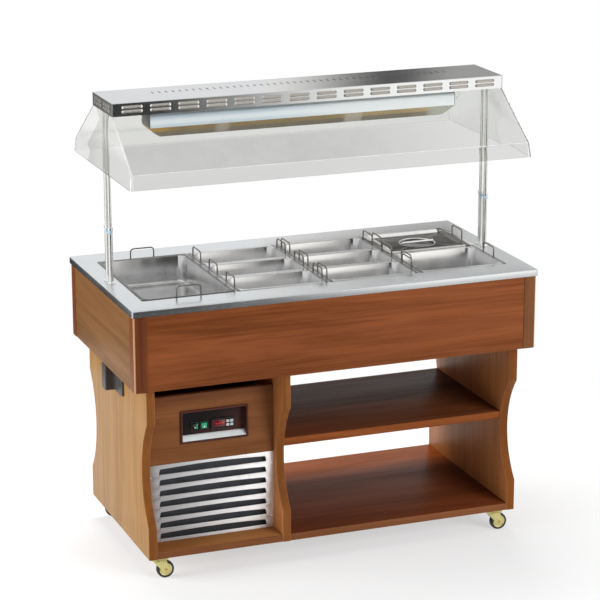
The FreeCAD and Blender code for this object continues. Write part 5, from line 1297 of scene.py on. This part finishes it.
def caster_pieces():
    """Plates in one piece; a fork, an axle, a turned disc and a tyre with a round tread to each corner."""
    joints = {j["child"]: np.array(j["pos_m"]) * 1000 for j in frame["joints"] if "pos_m" in j}
    plates = Piece()
    for corner in ("front_left", "front_right", "back_left", "back_right"):
        x, y = joints["fork_" + corner][:2]
        centre = joints["wheel_" + corner][[0, 2]]
        on_fork, on_wheel = "fork_" + corner, "wheel_" + corner
        caster_plate(plates, x, y)
        fork = Piece()
        caster_fork(fork, x, y, centre[0])
        fork.build("caster_fork_" + corner + "_pressing", on_fork, "zinc", ZINC, ["caster_fork_" + corner])
        nuts = Piece()
        caster_axle(nuts, y, centre)
        nuts.build("caster_axle_" + corner, on_fork, "zinc", BRASS)
        wheel = Piece()
        half = [(4.06, 12.7), (8.2, 12.7), (9.0, 12.0), (9.0, 7.5), (11.5, 6.0), (17.0, 6.0), (19.5, 8.6),
                (22.0, 9.0)]
        profile = [(r, y + run) for r, run in half] + [(r, y - run) for r, run in half[::-1]]
        lathe(wheel, profile, centre, "y", 40, closed=True)
        wheel.build("caster_wheel_" + corner + "_disc", on_wheel, "zinc", ZINC, ["caster_wheel_" + corner])
        tyre = Piece()
        turn = np.linspace(0, np.pi, 15)
        tread = [(26.0 + 4.0 * math.sin(a) ** 0.6, y + 11.0 * math.cos(a)) for a in turn]
        profile = [(22.06, y + 10.4), (24.0, y + 11.0), *tread, (24.0, y - 11.0), (22.06, y - 10.4)]
        lathe(tyre, profile, centre, "y", 44, closed=True)
        tyre.build("caster_tyre_" + corner + "_rubber", on_wheel, "tyre_black", TYRE,
                   ["caster_tyre_" + corner])
    plates.build("caster_plates_pressing", "counter", "zinc", ZINC, ["caster_plates"])


def dress_nodes():
    """Finishes for the CAD nodes that show as they are."""
    looks = {
        "gantry_shelf": SHELF_STEEL, "water_tank": SATIN, "heating_element": DARK_METAL,
        "drain_pipe": POST_STEEL, "casing_floor": WOOD_BOARD, "unit_back_panel": WOOD_FRONT,
        "control_box": CHARCOAL, "cable_gland": BLACK, "heat_lamps": CERAMIC,
    }
    for node, look in looks.items():
        materials = frame["nodes"][node].data.materials
        materials.clear()
        materials.append(look)


base_pieces()
casing_pieces()
worktop_pieces()
pan_pieces()
lid_piece()
shelf_louvres()
hood_piece()
hood_folds()
lamp_pieces()
post_pieces()
unit_front_piece()
grille_piece()
bezel_pieces()
switch_pieces()
thermostat_pieces()
bracket_piece()
caster_pieces()
dress_nodes()


# Floor, world, lights and camera


def seen_white(tree):
    """One for rays from the camera, from gloss and through the clear sheet."""
    path = add(tree, "ShaderNodeLightPath").outputs
    seen = math_node(tree, "MAXIMUM", path["Is Camera Ray"], path["Is Glossy Ray"])
    return math_node(tree, "MAXIMUM", seen, path["Is Transmission Ray"])


def bare_finish(name):
    """A material with nothing in it but its output."""
    material, tree, shader = finish(name)
    tree.nodes.remove(shader)
    return material, tree


def plane(name, corners, material):
    """One flat face that belongs to the studio."""
    mesh = bpy.data.meshes.new(name)
    mesh.from_pydata(corners, [], [(0, 1, 2, 3)])
    mesh.materials.append(material)
    item = bpy.data.objects.new(name, mesh)
    bpy.context.scene.collection.objects.link(item)
    return item


def floor():
    """A pale plane that keeps the shadow near the counter and turns to plain white further out."""
    material, tree = bare_finish("pale_floor")
    matt = add(tree, "ShaderNodeBsdfDiffuse", {"Color": (0.86, 0.86, 0.86, 1)})
    white = add(tree, "ShaderNodeEmission", {"Color": (1, 1, 1, 1), "Strength": 1.0})
    place = add(tree, "ShaderNodeTexCoord").outputs["Object"]
    away = add(tree, "ShaderNodeVectorMath", {0: place}, operation="LENGTH").outputs["Value"]
    share = math_node(tree, "MULTIPLY", remap(tree, away, 0.7, 2.2, 0.55, 1.0), seen_white(tree))
    mix = add(tree, "ShaderNodeMixShader", {0: share, 1: matt.outputs[0], 2: white.outputs[0]})
    tree.links.new(mix.outputs[0], tree.nodes["Material Output"].inputs["Surface"])
    reach = 40.0
    plane("floor", [(-reach, -reach, 0), (reach, -reach, 0), (reach, reach, 0), (-reach, reach, 0)], material)


def world():
    """Soft light from all round, seen as white."""
    place = bpy.data.worlds.new("studio")
    bpy.context.scene.world = place
    place.use_nodes = True
    tree = place.node_tree
    soft = tree.nodes["Background"]
    soft.inputs["Color"].default_value = (1, 1, 1, 1)
    soft.inputs["Strength"].default_value = 0.26
    white = add(tree, "ShaderNodeBackground", {"Color": (1, 1, 1, 1), "Strength": 1.0})
    mix = add(tree, "ShaderNodeMixShader", {0: seen_white(tree), 1: soft.outputs[0], 2: white.outputs[0]})
    tree.links.new(mix.outputs[0], tree.nodes["World Output"].inputs["Surface"])


def aim(item, place, target):
    """An object at a place, its own minus Z pointing at a target."""
    item.location = place
    item.rotation_euler = (Vector(target) - Vector(place)).to_track_quat("-Z", "Y").to_euler()
    bpy.context.scene.collection.objects.link(item)


def soft_lamp(name, place, target, width, height, power):
    """A rectangular studio lamp."""
    data = bpy.data.lights.new(name, "AREA")
    data.shape, data.size, data.size_y, data.energy = "RECTANGLE", width, height, power
    item = bpy.data.objects.new(name, data)
    item.visible_glossy = item.visible_transmission = False
    aim(item, place, target)


def card(name, corners, direction, span, levels):
    """A card that only metal and gloss see; its grey runs between two levels along a direction."""
    material, tree = bare_finish(name)
    place = add(tree, "ShaderNodeTexCoord").outputs["Object"]
    along = add(tree, "ShaderNodeVectorMath", {0: place, 1: direction}, operation="DOT_PRODUCT")
    grey = remap(tree, along.outputs["Value"], *span, *levels)
    glow = add(tree, "ShaderNodeEmission", {"Color": (1.0, 0.98, 0.95, 1), "Strength": grey})
    tree.links.new(glow.outputs[0], tree.nodes["Material Output"].inputs["Surface"])
    item = plane(name, corners, material)
    item.visible_camera = item.visible_diffuse = item.visible_shadow = item.visible_transmission = False


def floor_card(name, x, y, z, *look):
    """A card lying over the floor."""
    card(name, [(x[0], y[0], z), (x[1], y[0], z), (x[1], y[1], z), (x[0], y[1], z)], *look)


def back_card(name, x, z, y, *look):
    """A card standing across the room."""
    card(name, [(x[0], y, z[0]), (x[1], y, z[0]), (x[1], y, z[1]), (x[0], y, z[1])], *look)


floor()
world()
soft_lamp("key_left", (-4.2, 0.2, 2.2), (0, 0, 0.8), 2.4, 2.4, 195)
soft_lamp("fill_front", (2.6, -4.6, 2.4), (0, 0, 0.8), 3.0, 2.4, 215)
soft_lamp("top_soft", (0.2, 1.7, 4.2), (0, 0.3, 0.1), 3.0, 1.2, 170)
ALONG, SLANTED = (1.0, 0.0, 0.0), (1.0, 0.32, 0.0)
FAR_LOOK = SLANTED, (-0.45, 0.85), (0.024, 1.68)
LEFT_LOOK = ALONG, (-2.5, -1.9), (0.22, 0.03)
BACK = 1.2
floor_card("front_card", (-3.0, 9.0), (-5.2, -0.6), 0.001, SLANTED, (-0.57, 0.88), (0.08, 0.72))
floor_card("far_card", (-3.0, 9.0), (-11.0, -5.2), 0.001, *FAR_LOOK)
back_card("front_wall_card", (-3.0, 9.0), (0.0, 5.0), -9.5, *FAR_LOOK)
floor_card("grille_card", (-0.9, 0.5), (-1.3, -0.6), 0.002, ALONG, (-0.5, 0.05), (0.28, 1.1))
floor_card("left_card", (-6.0, -0.76), (2.0, 6.6), 0.001, *LEFT_LOOK)
back_card("left_wall_card", (-6.0, -2.0), (0.0, 3.5), 6.0, *LEFT_LOOK)
back_card("back_card", (0.3, 0.86), (1.72, 2.3), BACK, ALONG, (0.3, 0.85), (1.0, 0.09))
back_card("right_card", (0.86, 3.2), (1.72, 2.3), BACK, ALONG, (0.86, 1.14), (0.09, 0.42))
back_card("lid_card", (0.3, 1.15), (1.235, 1.34), BACK, ALONG, (0.3, 1.15), (0.2, 0.1))
back_card("low_card", (0.3, 3.2), (0.98, 1.235), BACK, ALONG, (0.3, 1.0), (1.0, 0.6))
back_card("mid_card", (0.3, 3.2), (1.34, 1.6), BACK, ALONG, (0.3, 1.0), (1.0, 0.62))

camera = bpy.data.objects.new("camera", bpy.data.cameras.new("camera"))
camera.data.lens, camera.data.sensor_width = 141.829, 36.0
camera.data.clip_end = 200.0
camera.location = (-2.8085, -7.3646, 3.0659)
camera.rotation_euler = [math.radians(turn) for turn in (74.114, 0.1, -20.87)]
bpy.context.scene.collection.objects.link(camera)
bpy.context.scene.camera = camera
bpy.context.scene.view_settings.view_transform = "Standard"
